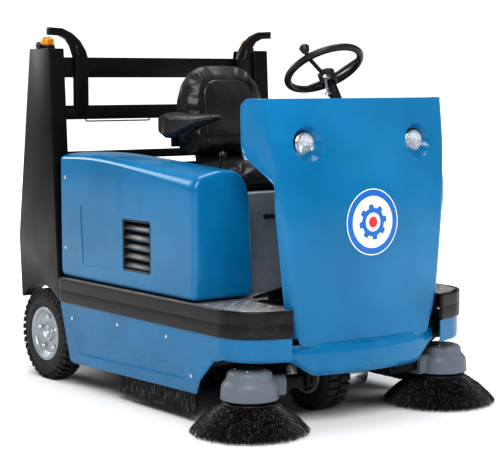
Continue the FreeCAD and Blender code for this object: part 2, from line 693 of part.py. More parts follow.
def brushFlaps():
    """Side bristle strips behind the skirts and a strip in front of the tunnel."""
    x = size("stripHalf") - size("skirtInset") - size("skirtWall") - 22
    front, rear = -470, 87
    parts = [Part.makeBox(12, rear - front, 125, FreeCAD.Vector(side * x - 6, front, 34)) for side in (-1, 1)]
    parts.append(Part.makeBox(720, 10, 130, FreeCAD.Vector(-360, -38, 22)))
    return feature("brush_flaps", Part.makeCompound(parts))


# ---- hopper -----------------------------------------------------------------------------

def binProfile(wall):
    low, top = size("binLow") + wall, size("binTop") - wall
    front, rear = size("binFront") + wall, size("binRear") - wall
    back = size("binBack") + wall
    step = size("binStep") - wall
    return [(front, low), (front, step), (back, step + 60), (back, top), (rear, top), (rear, low + 60),
            (rear - 70, low)]


def hopperBin():
    half = size("binHalf")
    wall = size("binWall")
    shell = prism(binProfile(0), "X", -half, 2 * half).cut(prism(binProfile(wall), "X", wall - half,
                                                                2 * (half - wall)))
    mouth = Part.makeBox(2 * half - 60, 20, 180, FreeCAD.Vector(30 - half, size("binFront") - 10, 158))
    shell = shell.cut(mouth)
    for side in (-1, 1):
        pin = tube(size("dumpPin") / 2, 34, (side * (half - 1), size("dumpRear"), size("dumpHeight")), (side, 0, 0))
        shell = shell.fuse(pin)
    return feature("hopper_bin", shell)


def hopperCarriage():
    """Lift frame: side plates, a beam over the bin and guide shoes in the mast channels."""
    inner = size("binHalf") + 12
    outer = size("mastHalf") - size("mastWall") - 12
    frame = Part.makeBox(2 * inner + 24, 60, 12, FreeCAD.Vector(-inner - 12, 700, size("binTop") + 18))
    for side in (-1, 1):
        x = inner if side > 0 else -inner - 12
        plate = Part.makeBox(12, 240, 330, FreeCAD.Vector(x, 660, size("binTop") - 300))
        hole = tube(size("dumpPin") / 2 + size("fit"), 60, (side * (inner - 20), size("dumpRear"),
                                                            size("dumpHeight")), (side, 0, 0))
        frame = frame.fuse(plate.cut(hole))
        for z in (size("binTop") - 290, size("binTop") - 40):
            start = inner + 12 if side > 0 else -outer
            frame = frame.fuse(Part.makeBox(outer - inner - 12, 80, 60, FreeCAD.Vector(start, 662, z)))
    return feature("hopper_carriage", frame)


# ---- seat ---------------------------------------------------------------------------------

def seatBase():
    """Plated steel box that carries the seat and covers the battery."""
    wall = 3
    outside = block("baseOutside", "-baseHalf", "-baseFront", "deckTop", "2 * baseHalf", "baseFront + baseRear",
                    "baseTop - deckTop")
    inside = block("baseInside", "-baseHalf + %d" % wall, "-baseFront + %d" % wall, "deckTop - 5",
                   "2 * baseHalf - %d" % (2 * wall), "baseFront + baseRear - %d" % (2 * wall),
                   "baseTop - deckTop + 5 - %d" % wall)
    box = cut("baseBox", outside, inside)
    rails = [block("seatRail", x, -200, "baseTop", 30, 360, 12) for x in (-155, 125)]
    return fuse("seat_base", [box] + rails)


def seatLatch():
    """Quarter-turn latch on the base's front."""
    y = -size("baseFront")
    shaft = tube(9, 14, (-150, y - 1, 770), (0, -1, 0))
    grip = Part.makeBox(64, 8, 16, FreeCAD.Vector(-158, y - 21, 762))
    return feature("seat_latch", shaft.fuse(grip))


def batteryPack():
    cells = [Part.makeBox(220, 250, 260, FreeCAD.Vector(x, -150, size("deckTop") + 1)) for x in (-232, 12)]
    return feature("battery_pack", Part.makeCompound(cells))


def seatPan():
    """Pressed seat pan with runners, a spine and the armrest pivots."""
    low = size("baseTop") + 13
    pan = Part.makeBox(2 * size("seatHalf") - 40, 400, 12, FreeCAD.Vector(20 - size("seatHalf"), -270, low))
    spine = prism([(130, low), (130, 975), (172, 1010), (190, 1300), (202, 1300), (186, 990), (150, low)],
                  "X", -110, 220)
    pan = pan.fuse(spine)
    for side in (-1, 1):
        x = side * (size("seatHalf") + 1)
        bracket = prism([(184, 1030), (184, 1150), (200, 1150), (200, 1030)], "X", min(0, x), abs(x))
        pin = tube(8, 16, (x - side, 186, 1110), (side, 0, 0))
        pan = pan.fuse(bracket).fuse(pin)
    return feature("seat_pan", pan)


def seatCushion():
    half = size("seatHalf")
    low = size("baseTop") + 26
    solid = prism([(-size("seatFront") + 18, low), (-size("seatFront"), low + 40), (-size("seatFront") + 22,
                  size("seatTop") - 8), (-240, size("seatTop")), (112, size("seatTop") - 24), (124, low)],
                  "X", -half, 2 * half)
    return feature("seat_cushion", solid)


def seatBack():
    """Upholstered back: side profile crossed with a round-topped outline."""
    half = size("seatHalf")
    top = size("backTop")
    side = prism([(62, 985), (118, top - 25), (140, top), (172, top - 10), (184, top - 80), (171, 1018),
                  (132, 985)], "X", -half, 2 * half)
    face = [(-half + 14, 985), (-half, 1040), (-half, top - 160), (-half + 22, top - 90), (-half + 70, top - 32),
            (-half + 130, top - 6), (0, top)]
    face = prism(face + [(-x, z) for x, z in face[-2::-1]], "Y", 0, 300)
    return feature("seat_back", side.common(face))


def armrest():
    """Padded arm, deep at its pivot and thin at its front end."""
    inner = size("armrestInner")
    arm = prism([(-208, 1160), (-214, 1170), (-202, 1180), (150, 1178), (205, 1160), (206, 1090), (150, 1062),
                 (64, 1064), (-63, 1114)], "X", -inner - size("armrestWide"), size("armrestWide"))
    boss = tube(18, 14.5, (-inner, 186, 1110), (1, 0, 0))
    bore = tube(8 + size("fit"), 60, (-inner - 30, 186, 1110), (1, 0, 0))
    return feature("right_armrest", arm.fuse(boss).cut(bore))


# ---- controls -----------------------------------------------------------------------------

def wheelSpot(along, across=0, up=0):
    """Point in the steering wheel's own frame: up its axis, across its plane."""
    tilt = math.radians(size("wheelTilt"))
    axis = FreeCAD.Vector(0, math.sin(tilt), math.cos(tilt))
    rise = FreeCAD.Vector(0, math.cos(tilt), -math.sin(tilt))
    centre = FreeCAD.Vector(0, size("wheelRear"), size("wheelHeight"))
    return centre + axis * along + rise * up + FreeCAD.Vector(across, 0, 0)


def wheelAxis():
    return wheelSpot(1) - wheelSpot(0)


def steeringWheel():
    """Rim, three dished spokes and a hub."""
    grip = size("wheelGrip") / 2
    ring = size("wheelWide") / 2 - grip
    solid = Part.makeTorus(ring, grip, wheelSpot(0), wheelAxis())
    solid = solid.fuse(Part.makeCylinder(34, 46, wheelSpot(-66), wheelAxis()))
    for turn in (90, 210, 330):
        angle = math.radians(turn)
        tip = wheelSpot(0, (ring - 2) * math.cos(angle), (ring - 2) * math.sin(angle))
        foot = wheelSpot(-44, 20 * math.cos(angle), 20 * math.sin(angle))
        solid = solid.fuse(Part.makeCylinder(8, (tip - foot).Length, foot, tip - foot))
    bore = Part.makeCylinder(12, 30, wheelSpot(-67), wheelAxis())
    seat = Part.makeCylinder(20.4, 6, wheelSpot(-24), wheelAxis())
    return feature("steering_wheel", solid.cut(bore).cut(seat))


def spinnerKnob():
    ring = size("wheelWide") / 2 - size("wheelGrip") / 2
    angle = math.radians(210)
    spot = wheelSpot(size("wheelGrip") / 2 + 0.4, ring * math.cos(angle), ring * math.sin(angle))
    knob = Part.makeCylinder(9, 12, spot, wheelAxis())
    ball = Part.makeCone(14, 21, 22, spot + wheelAxis() * 10, wheelAxis())
    cap = Part.makeCone(21, 12, 10, spot + wheelAxis() * 32, wheelAxis())
    return feature("spinner_knob", knob.fuse(ball).fuse(cap))


def hornButton():
    return feature("horn_button", Part.makeCylinder(20, 10, wheelSpot(-19.5), wheelAxis()))


def steeringColumn():
    """Tube on a tilting pivot block, with a stub that carries the wheel's hub."""
    column = Part.makeCylinder(size("columnWide") / 2, 130, wheelSpot(-67 - 130), wheelAxis())
    stub = Part.makeCylinder(11.95, 18, wheelSpot(-67.2), wheelAxis())
    foot = wheelSpot(-190)
    hub = tube(24, 56, (-28, foot.y, foot.z), (1, 0, 0))
    bore = tube(8.05, 80, (-40, foot.y, foot.z), (1, 0, 0))
    return feature("steering_column", column.fuse(stub).fuse(hub).cut(bore))


def columnPivot():
    """Console post from the deck with a fork and the column's tilt pin."""
    foot = wheelSpot(-190)
    deck = size("deckTop")
    post = Part.makeBox(180, 46, size("cowlTop") - 27 - deck, FreeCAD.Vector(-90, -742, deck))
    solid = tube(8, 84, (-42, foot.y, foot.z), (1, 0, 0)).fuse(post)
    for x in (-42, 30):
        solid = solid.fuse(Part.makeBox(12, 48, 46, FreeCAD.Vector(x, foot.y - 24, foot.z - 22)))
        solid = solid.fuse(Part.makeBox(12, foot.y + 700, 24, FreeCAD.Vector(x, -700, foot.z - 22)))
    return feature("column_pivot", solid)


def columnLever():
    """Clamp lever on the column's right side."""
    spot = wheelSpot(-118, -size("columnWide") / 2 - 0.5)
    boss = tube(10, 16, (spot.x, spot.y, spot.z), (-1, 0, 0))
    end = FreeCAD.Vector(spot.x - 34, spot.y - 12, spot.z + 66)
    start = FreeCAD.Vector(spot.x - 10, spot.y, spot.z)
    arm = Part.makeCylinder(5, (end - start).Length, start, end - start)
    return feature("column_lever", boss.fuse(arm).fuse(Part.makeSphere(9, end)))


def pedalBase():
    x, y, z = -300, -640, size("deckTop")
    base = Part.makeBox(84, 120, 6, FreeCAD.Vector(x - 42, y - 60, z))
    for side in (-34, 26):
        base = base.fuse(Part.makeBox(8, 24, 30, FreeCAD.Vector(x + side, y - 12, z)))
    pin = tube(5, 76, (x - 38, y, z + 24), (1, 0, 0))
    return feature("pedal_base", base.fuse(pin))


def drivePedal():
    x, y, z = -300, -640, size("deckTop") + 24
    plate = Part.makeBox(88, 190, 8, FreeCAD.Vector(x - 44, y - 95, z + 14))
    hub = tube(11, 48, (x - 24, y, z), (1, 0, 0))
    web = Part.makeBox(48, 18, 18, FreeCAD.Vector(x - 24, y - 9, z))
    pedal = plate.fuse(web).fuse(hub)
    pedal.rotate(FreeCAD.Vector(x, y, z), FreeCAD.Vector(1, 0, 0), -18)
    return feature("drive_pedal", pedal.cut(tube(5 + size("fit"), 80, (x - 40, y, z), (1, 0, 0))))


def controlLever():
    """Hopper lever: a boss on the right housing, a plated rod and a ball knob."""
    pivot = FreeCAD.Vector(-334, -290, 925)
    top = FreeCAD.Vector(-334, -333, 1018)
    lever = Part.makeCylinder(5, (top - pivot).Length, pivot, top - pivot)
    lever = lever.fuse(tube(9, 16, (-342, -290, 925), (1, 0, 0)))
    return feature("control_lever", lever.fuse(Part.makeSphere(15, top)))


def panelScrews():
    """Pan-head screws of the skirts and housings, all one size."""
    screws = []
    skirtX = size("stripHalf") - size("skirtInset")
    houseX = size("housingHalf")
    for side in (-1, 1):
        for x, y, z in ((skirtX, 425, 300), (skirtX, -470, 190), (skirtX, 60, 320), (skirtX, -300, 320),
                        (houseX, 480, 600), (houseX, 480, 900)):
            screws.append(tube(7, 3, (side * x, y, z), (side, 0, 0)))
    return feature("panel_screws", Part.makeCompound(screws))


# ---- the whole machine --------------------------------------------------------------------

def build():
    """Make every sub-part; right-hand pieces get their left-hand mirror copies."""
    rightSide = [bumper(), skirt(), housing(), louvre(), mast(), broomArm(), broomCover(), sideBroom(),
                 armrest()]
    rightSide += wheel("right_rear", "rearWheel", "rearTread", "rimWide", "axleWide / 2 + fit", -1,
                       "-rearOuter", "rearAxle")
    leftSide = [mirrorOf(piece.Name.replace("right_", "left_"), piece) for piece in rightSide]
    middle = [chassisFrame(), floorDeck(), frontCowl(), frontApron(), headlights(), dashPanel(),
              crossBars(), hoseGuides(), mastCable(), steeringFork(), driveMotor(), frameBrackets(),
              mainBrush(), brushArms(), brushTunnel(), brushFlaps(), hopperBin(), hopperCarriage(), seatBase(),
              seatLatch(), batteryPack(), seatPan(), seatCushion(), seatBack(),
              steeringWheel(), spinnerKnob(), hornButton(), steeringColumn(), columnPivot(), columnLever(),
              pedalBase(), drivePedal(), controlLever(), panelScrews()]
    middle += wheel("front", "frontWheel", "frontTread", "170", "11 + fit", -1, "-frontTread / 2", "-steerFront")
    middle += beacons()
    return rightSide + leftSide + middle


def checkAll(pieces):
    doc.recompute()
    for thing in doc.Objects:
        if "Invalid" in thing.State or "Error" in thing.State:
            raise RuntimeError("failed: " + thing.Name)
    for piece in pieces:
        if piece.Shape.isNull() or not piece.Shape.isValid() or not piece.Shape.Solids:
            raise RuntimeError("bad shape: " + piece.Name)


def writeAll(pieces):
    os.makedirs("parts", exist_ok=True)
    for piece in pieces:
        piece.Label = piece.Name
        piece.Shape.exportStep("parts/%s.step" % piece.Label)
    print(len(pieces), "sub-parts written")


pieces = build()
checkAll(pieces)
writeAll(pieces)
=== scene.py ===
import bpy
import bmesh
import json
import math
import numpy as np
from mathutils import Vector, Matrix, Quaternion
from mathutils.bvhtree import BVHTree


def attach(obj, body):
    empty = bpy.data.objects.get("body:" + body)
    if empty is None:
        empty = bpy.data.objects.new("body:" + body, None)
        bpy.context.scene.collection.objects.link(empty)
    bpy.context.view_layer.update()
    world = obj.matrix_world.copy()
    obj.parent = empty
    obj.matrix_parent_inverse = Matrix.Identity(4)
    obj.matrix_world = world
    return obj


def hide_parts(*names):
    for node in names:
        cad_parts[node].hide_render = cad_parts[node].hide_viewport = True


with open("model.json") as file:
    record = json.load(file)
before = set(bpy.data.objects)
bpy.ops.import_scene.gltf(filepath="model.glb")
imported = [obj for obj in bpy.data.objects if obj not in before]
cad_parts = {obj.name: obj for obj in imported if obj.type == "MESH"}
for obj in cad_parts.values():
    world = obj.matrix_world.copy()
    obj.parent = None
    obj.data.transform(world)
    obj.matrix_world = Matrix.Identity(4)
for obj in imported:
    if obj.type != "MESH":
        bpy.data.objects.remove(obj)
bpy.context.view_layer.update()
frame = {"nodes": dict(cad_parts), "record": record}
print("frame loaded")

bodyOf = {node: body for body, nodes in frame["record"]["behaviour"]["bodies"].items() for node in nodes}


# wraps a socket so that a sum or product of values adds its Math nodes
class Value:
    def __init__(self, shader, socket):
        self.shader = shader
        self.socket = socket

    def math(self, operation, *others, **settings):
        values = [self.socket] + [other.socket if isinstance(other, Value) else other for other in others]
        return self.shader.add("ShaderNodeMath", {"operation": operation, **settings},
                               dict(enumerate(values)))

    def __add__(self, other): return self.math("ADD", other)
    def __radd__(self, other): return self.math("ADD", other)
    def __sub__(self, other): return self.math("SUBTRACT", other)
    def __rsub__(self, other): return (self * -1) + other
    def __mul__(self, other): return self.math("MULTIPLY", other)
    def __rmul__(self, other): return self.math("MULTIPLY", other)
    def __truediv__(self, other): return self.math("DIVIDE", other)
    def clip(self): return self.math("ADD", 0, use_clamp=True)
    def over(self, edge): return self.math("GREATER_THAN", edge)
    def power(self, other): return self.math("POWER", other)


class Shader:
    def __init__(self, name, rough=0.5, metal=0.0, coat=0.0, coatRough=0.1, shine=0.22):
        self.material = bpy.data.materials.new(name)
        self.material.use_nodes = True
        self.tree = self.material.node_tree
        self.main = self.tree.nodes["Principled BSDF"]
        self.main.inputs["Roughness"].default_value = rough
        self.main.inputs["Metallic"].default_value = metal
        self.main.inputs["Specular IOR Level"].default_value = shine if not metal else 0.5
        self.main.inputs["Coat Weight"].default_value = coat * 0.6
        self.main.inputs["Coat Roughness"].default_value = coatRough
        self.place = self.add("ShaderNodeTexCoord", {}, {}, "Object")

    # any node: its settings first, then the values or links of its sockets
    def add(self, kind, settings, inputs, output=0):
        node = self.tree.nodes.new(kind)
        for key, value in settings.items():
            if key == "ramp":
                for i, (spot, colour) in enumerate(value):
                    stop = node.color_ramp.elements[i] if i < 2 else node.color_ramp.elements.new(spot)
                    stop.position = spot
                    stop.color = colour if len(colour) == 4 else (*colour, 1)
            else:
                setattr(node, key, value)
        for key, value in inputs.items():
            if isinstance(value, Value):
                value = value.socket
            if isinstance(value, bpy.types.NodeSocket):
                self.tree.links.new(value, node.inputs[key])
            else:
                node.inputs[key].default_value = value
        return Value(self, node.outputs[output])

    def stretch(self, x, y, z, turn=(0, 0, 0)):
        return self.add("ShaderNodeMapping", {}, {"Vector": self.place, "Scale": (x, y, z), "Rotation": turn})

    def noise(self, scale, detail=4, rough=0.55, place=None):
        return self.add("ShaderNodeTexNoise", {}, {"Vector": place or self.place, "Scale": scale,
                                                    "Detail": detail, "Roughness": rough}, "Fac")

    def cells(self, scale, feature="F1", output="Distance", place=None):
        return self.add("ShaderNodeTexVoronoi", {"feature": feature},
                        {"Vector": place or self.place, "Scale": scale}, output)

    def ramp(self, value, low, high):
        return self.add("ShaderNodeMapRange", {"clamp": True},
                        {"Value": value, "From Min": low, "From Max": high}, "Result")

    def mix(self, factor, first, second):
        first, second = [(*c, 1) if isinstance(c, tuple) and len(c) == 3 else c for c in (first, second)]
        return self.add("ShaderNodeMix", {"data_type": "RGBA"}, {0: factor, 6: first, 7: second}, 2)

    def axis(self, name):
        return self.add("ShaderNodeSeparateXYZ", {}, {0: self.place}, name)

    def bump(self, height, distance, strength=1.0):
        normal = self.add("ShaderNodeBump", {}, {"Height": height, "Distance": distance,
                                                 "Strength": strength})
        self.tree.links.new(normal.socket, self.main.inputs["Normal"])

    def drive(self, **sockets):
        for name, value in sockets.items():
            self.tree.links.new(value.socket, self.main.inputs[{"colour": "Base Color", "rough": "Roughness",
                                                                "metal": "Metallic", "alpha": "Alpha"}[name]])

    def edges(self, width):
        bevel = self.add("ShaderNodeBevel", {"samples": 4}, {"Radius": width}, 0)
        normal = self.add("ShaderNodeNewGeometry", {}, {}, "Normal")
        same = self.add("ShaderNodeVectorMath", {"operation": "DOT_PRODUCT"}, {0: bevel, 1: normal}, "Value")
        return self.ramp(1 - same, 0.02, 0.25)


# gloss paint on moulded panels: faint orange peel, a haze of dust low down, fine scuffs
def bluePaint(name, colour):
    s = Shader(name, 0.26, 0, 0.25, 0.08)
    tone = s.noise(3.0, 3)
    dust = s.ramp(s.noise(14, 6, 0.7) + s.ramp(s.axis("Z"), 0.42, 0.12) * 0.35, 0.62, 0.95)
    scuff = s.ramp(s.noise(60, 2, 0.5, s.stretch(1, 0.12, 1.6)), 0.68, 0.76) * s.ramp(s.axis("Z"), 0.5, 0.2)
    deep = tuple(c * 0.88 for c in colour)
    lift = tuple(min(1, c * 1.1 + 0.004) for c in colour)
    base = s.mix(s.ramp(tone, 0.35, 0.65), deep, lift)
    base = s.mix(dust * 0.05, base, (0.22, 0.32, 0.38))
    base = s.mix(scuff * 0.08, base, (0.25, 0.42, 0.55))
    s.drive(colour=base, rough=s.ramp(dust, 0, 1) * 0.18 + s.noise(90, 2) * 0.06 + scuff * 0.15 + 0.18)
    s.bump(s.noise(140, 2, 0.4) + s.noise(9, 1) * 1.5, 0.0004, 0.25)
    return s.material


# powder coat: fine pebble, rubbed lighter in broad patches and along edges
def powderCoat(name, colour, wear=0.3, peel=0.4):
    s = Shader(name, 0.42, 0, 0.05, 0.3, 0.14)
    patch = s.ramp(s.noise(5, 5, 0.6), 0.4, 0.7)
    lift = tuple(c * 1.7 + 0.002 for c in colour)
    edge = s.edges(0.004) * s.ramp(s.noise(26, 4, 0.7), 0.5, 0.7)
    base = s.mix(patch * 0.5, colour, lift)
    base = s.mix(edge * wear, base, (0.22, 0.21, 0.2))
    s.drive(colour=base, rough=patch * 0.12 + s.noise(220, 2) * 0.1 + 0.3)
    s.bump(s.cells(900, "SMOOTH_F1") + s.noise(60, 2) * 0.5, 0.00025, peel)
    return s.material


# moulded plastic with a fine leather-like texture
def mouldedPlastic(name, colour, rough=0.45, grain=700):
    s = Shader(name, rough, 0, 0.05, 0.3)
    tone = s.ramp(s.noise(8, 5, 0.65), 0.35, 0.7)
    dust = s.ramp(s.noise(30, 6, 0.75), 0.55, 0.8)
    lift = tuple(c * 1.25 + 0.004 for c in colour)
    base = s.mix(dust * 0.14, s.mix(tone, colour, lift), (0.25, 0.24, 0.23))
    s.drive(colour=base, rough=tone * 0.1 + dust * 0.12 + (rough - 0.08))
    s.bump(s.cells(grain, "SMOOTH_F1"), 0.0003, 0.35)
    return s.material


# zinc coat: crystal spangles, soft brushed streaks and a few dull stains
def zinc(name, colour, spangle=55, rough=0.3, metal=1.0):
    s = Shader(name, rough, metal)
    flake = s.add("ShaderNodeTexVoronoi", {"feature": "F1"}, {"Vector": s.place, "Scale": spangle}, "Color")
    flake = s.add("ShaderNodeSeparateColor", {}, {0: flake}, "Red")
    streak = s.noise(80, 3, 0.6, s.stretch(1, 1, 0.06))
    stain = s.ramp(s.noise(9, 6, 0.7), 0.55, 0.75)
    dull = tuple(c * 0.62 for c in colour)
    base = s.mix(flake * 0.35 + streak * 0.2, colour, dull)
    base = s.mix(stain * 0.3, base, (0.30, 0.29, 0.27))
    s.drive(colour=base, rough=flake * 0.14 + stain * 0.22 + streak * 0.1 + (rough - 0.1))
    s.bump(streak, 0.0002, 0.3)
    return s.material


# worn tread plate: bright worn tops, grey dirt between
def treadPlate():
    s = Shader("treadPlateSteel", 0.42, 0.85)
    dirt = s.ramp(s.noise(18, 7, 0.7), 0.4, 0.7)
    rust = s.ramp(s.noise(42, 5, 0.7), 0.62, 0.78)
    high = s.ramp(s.axis("Z"), 0.4672, 0.4684)
    base = s.mix(dirt, (0.42, 0.42, 0.42), (0.17, 0.165, 0.16))
    base = s.mix(rust * 0.35, base, (0.17, 0.09, 0.05))
    base = s.mix(high * 0.7, base, (0.5, 0.48, 0.46))
    s.drive(colour=base, rough=dirt * 0.25 + 0.34 - high * 0.1, metal=0.9 - dirt * 0.4)
    s.bump(s.noise(240, 3) + dirt, 0.0004, 0.5)
    return s.material


# upholstery vinyl: grain cells in two sizes with soft stretch folds
def vinyl(name):
    s = Shader(name, 0.38, 0, 0.12, 0.25)
    grain = s.cells(420, "DISTANCE_TO_EDGE") * -1 + s.cells(160, "SMOOTH_F1") * 0.5
    fold = s.noise(16, 2, 0.4, s.stretch(1, 1, 2.2))
    worn = s.ramp(s.noise(7, 4, 0.6), 0.45, 0.7)
    s.drive(colour=s.mix(worn, (0.010, 0.010, 0.011), (0.026, 0.026, 0.028)),
            rough=worn * 0.12 + s.noise(300, 2) * 0.08 + 0.28)
    s.bump(grain * 0.35 + fold * 3.0, 0.0007, 0.5)
    return s.material


# tyre rubber: dusty face, fine grit
def tyreRubber():
    s = Shader("tyreRubber", 0.75)
    dust = s.ramp(s.noise(12, 7, 0.75), 0.42, 0.72)
    grit = s.ramp(s.noise(160, 3, 0.7), 0.45, 0.65)
    base = s.mix(dust * 0.5, (0.013, 0.013, 0.013), (0.07, 0.067, 0.063))
    base = s.mix(grit * 0.2, base, (0.10, 0.095, 0.09))
    s.drive(colour=base, rough=dust * 0.15 + 0.66)
    s.bump(grit + s.noise(40, 3), 0.0006, 0.5)
    return s.material


# nylon bristles: mostly black with some pale dusty strands, paler at the tips
def bristles():
    s = Shader("bristleNylon", 0.5)
    strand = s.noise(150, 1, 0.5, s.stretch(1, 1, 0.25))
    pale = s.ramp(strand, 0.56, 0.66)
    tip = s.ramp(s.axis("Z"), 0.09, 0.0)
    base = s.mix(pale * 0.55 + tip * 0.05, (0.004, 0.004, 0.004), (0.17, 0.17, 0.18))
    s.drive(colour=base, rough=strand * 0.2 + 0.36)
    s.bump(strand, 0.0003, 0.3)
    return s.material


def lampGlass():
    s = Shader("lampGlass", 0.04)
    s.main.inputs["Transmission Weight"].default_value = 0.9
    s.main.inputs["IOR"].default_value = 1.45
    flute = s.add("ShaderNodeTexWave", {"bands_direction": "X"}, {"Vector": s.place, "Scale": 26.0}, "Fac")
    s.drive(colour=s.mix(s.noise(8, 2), (0.93, 0.95, 0.97), (0.85, 0.88, 0.92)),
            rough=s.noise(50, 2) * 0.06 + 0.02)
    s.bump(flute, 0.0008, 0.35)
    return s.material


def amber():
    s = Shader("amberLens", 0.12, 0, 0.5, 0.05)
    s.main.inputs["Transmission Weight"].default_value = 0.35
    glow = s.noise(30, 3)
    s.drive(colour=s.mix(s.ramp(glow, 0.3, 0.7), (0.95, 0.30, 0.01), (1.0, 0.55, 0.05)),
            rough=glow * 0.1 + 0.06)
    rib = s.add("ShaderNodeTexWave", {"bands_direction": "Z"}, {"Vector": s.place, "Scale": 60.0}, "Fac")
    s.bump(rib, 0.0008, 0.4)
    return s.material


def flatFilm(name, colour):
    s = Shader(name, 0.3, 0, 0.3, 0.1)
    tone = s.ramp(s.noise(22, 4), 0.3, 0.7)
    s.drive(colour=s.mix(tone * 0.25, colour, tuple(c * 0.9 for c in colour)), rough=tone * 0.1 + 0.24)
    s.bump(s.noise(120, 2), 0.0002, 0.2)
    return s.material


finishes = {
    "blue": bluePaint("bluePanelPaint", (0.0, 0.128, 0.285)),
    "black": powderCoat("satinBlackCoat", (0.004, 0.0036, 0.0038)),
    "strip": mouldedPlastic("guardStripPlastic", (0.006, 0.0055, 0.0055), 0.42, 500),
    "plastic": mouldedPlastic("mouldedBlack", (0.010, 0.010, 0.011), 0.36),
    "grey": mouldedPlastic("brushCoverGrey", (0.105, 0.125, 0.15), 0.42, 600),
    "zinc": zinc("galvanisedSheet", (0.36, 0.40, 0.43), 55, 0.36, 0.55),
    "plated": zinc("platedSteel", (0.66, 0.68, 0.71), 120, 0.26),
    "tread": treadPlate(), "vinyl": vinyl("seatVinyl"), "rubber": tyreRubber(), "bristle": bristles(),
    "glass": lampGlass(), "amber": amber(), "white": flatFilm("badgeWhite", (0.82, 0.83, 0.84)),
    "badgeBlue": flatFilm("badgeBlue", (0.01, 0.12, 0.42)),
    "badgeRed": flatFilm("badgeRed", (0.62, 0.02, 0.03)),
}
print("materials made")


# ---------- making and declaring pieces ----------

def declare(piece, body, finish, replaced=(), smooth=35):
    materials = [finish] if isinstance(finish, str) else finish
    piece.data.materials.clear()
    for name in materials:
        piece.data.materials.append(finishes[name])
    if piece.type == "MESH" and smooth is not None:
        for polygon in piece.data.polygons:
            polygon.use_smooth = True
        piece.data.set_sharp_from_angle(angle=math.radians(smooth))
    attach(piece, body)
    if replaced:
        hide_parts(*replaced)
    return piece


def addObject(name, mesh):
    piece = bpy.data.objects.new(name, mesh)
    bpy.context.scene.collection.objects.link(piece)
    return piece


def meshPiece(name, points, faces, weld=0.0):
    mesh = bpy.data.meshes.new(name)
    mesh.from_pydata([tuple(p) for p in points], [], faces)
    piece = addObject(name, mesh)
    work = bmesh.new()
    work.from_mesh(mesh)
    if weld:
        bmesh.ops.remove_doubles(work, verts=work.verts, dist=weld)
    bmesh.ops.recalc_face_normals(work, faces=work.faces)
    work.to_mesh(mesh)
    work.free()
    return piece


# bakes live modifiers into a plain mesh
def settle(piece):
    graph = bpy.context.evaluated_depsgraph_get()
    mesh = bpy.data.meshes.new_from_object(piece.evaluated_get(graph))
    piece.modifiers.clear()
    piece.data = mesh
    return piece


def modify(piece, kind, **settings):
    modifier = piece.modifiers.new(kind.title(), kind)
    for key, value in settings.items():
        setattr(modifier, key, value)
    return modifier


def join(name, parts):
    work = bmesh.new()
    for part in parts:
        work.from_mesh(part.data)
    mesh = bpy.data.meshes.new(name)
    work.to_mesh(mesh)
    work.free()
    for part in parts:
        bpy.data.objects.remove(part)
    return addObject(name, mesh)


# merged, planar-dissolved copy of a CAD node whose edges get a small round
def refined(node, round, segments=2, angle=28):
    mesh = frame["nodes"][node].data.copy()
    mesh.materials.clear()
    piece = addObject(node + "Finish", mesh)
    work = bmesh.new()
    work.from_mesh(mesh)
    bmesh.ops.remove_doubles(work, verts=work.verts, dist=0.00002)
    bmesh.ops.dissolve_limit(work, angle_limit=math.radians(1.0), verts=work.verts, edges=work.edges)
    work.to_mesh(mesh)
    work.free()
    if round:
        modify(piece, "BEVEL", width=round, segments=segments, limit_method="ANGLE",
               angle_limit=math.radians(angle), harden_normals=False, use_clamp_overlap=True)
        settle(piece)
    return piece


def refine(node, finish, round=0.002, **settings):
    return declare(refined(node, round, **settings), bodyOf[node], finish, [node], 38)


# frame of a turned piece: its axis and two directions across it
def across(axis):
    axis = Vector(axis).normalized()
    side = axis.orthogonal().normalized()
    return axis, side, axis.cross(side)


# turned solid from (radius, along) points; a point on the axis closes the end
def lathe(name, profile, centre=(0, 0, 0), axis=(0, 0, 1), steps=64, closed=False):
    axis, side, up = across(axis)
    centre = Vector(centre)
    points = []
    for i in range(steps):
        turn = 2 * math.pi * i / steps
        out = side * math.cos(turn) + up * math.sin(turn)
        points += [centre + out * radius + axis * along for radius, along in profile]
    count = len(profile)
    faces = []
    spans = range(count if closed else count - 1)
    for i in range(steps):
        for k in spans:
            a, b = i * count + k, i * count + (k + 1) % count
            c, d = ((i + 1) % steps) * count + (k + 1) % count, ((i + 1) % steps) * count + k
            faces.append((a, b, c, d))
    piece = meshPiece(name, points, faces, 0.00001)
    return piece


# rounds a profile's corners with short arcs
def soften(profile, radius, steps=4, closed=False):
    result = []
    count = len(profile)
    for i, spot in enumerate(profile):
        if not closed and i in (0, count - 1):
            result.append(spot)
            continue
        before, here, after = (Vector(profile[(i + k) % count]) for k in (-1, 0, 1))
        reach = min(radius, 0.45 * (before - here).length, 0.45 * (after - here).length)
        start = here + (before - here).normalized() * reach
        stop = here + (after - here).normalized() * reach
        for k in range(steps + 1):
            t = k / steps
            result.append(tuple(start.lerp(here, t).lerp(here.lerp(stop, t), t)))
    return result


# four-sided faces between rings of points, each ring closed on itself
def ringFaces(rings, count):
    pairs = [(r * count + c, r * count + (c + 1) % count) for r in range(rings - 1) for c in range(count)]
    return [(a, b, b + count, a + count) for a, b in pairs]


# a pair of values with a third put in at the given axis
def placed(pair, axis, value):
    return Vector((*pair[:axis], value, *pair[axis:]))


# solid pushed along one axis from an outline in the other two
def pushed(name, outline, axis, low, high, round=0.0, segments=2):
    count = len(outline)
    points = [placed(tuple(pair), "XYZ".index(axis), d) for d in (low, high) for pair in outline]
    faces = [tuple(range(count)), tuple(range(count, 2 * count))] + ringFaces(2, count)
    piece = meshPiece(name, points, faces)
    if round:
        modify(piece, "BEVEL", width=round, segments=segments, limit_method="ANGLE",
               angle_limit=math.radians(25))
        settle(piece)
    return piece


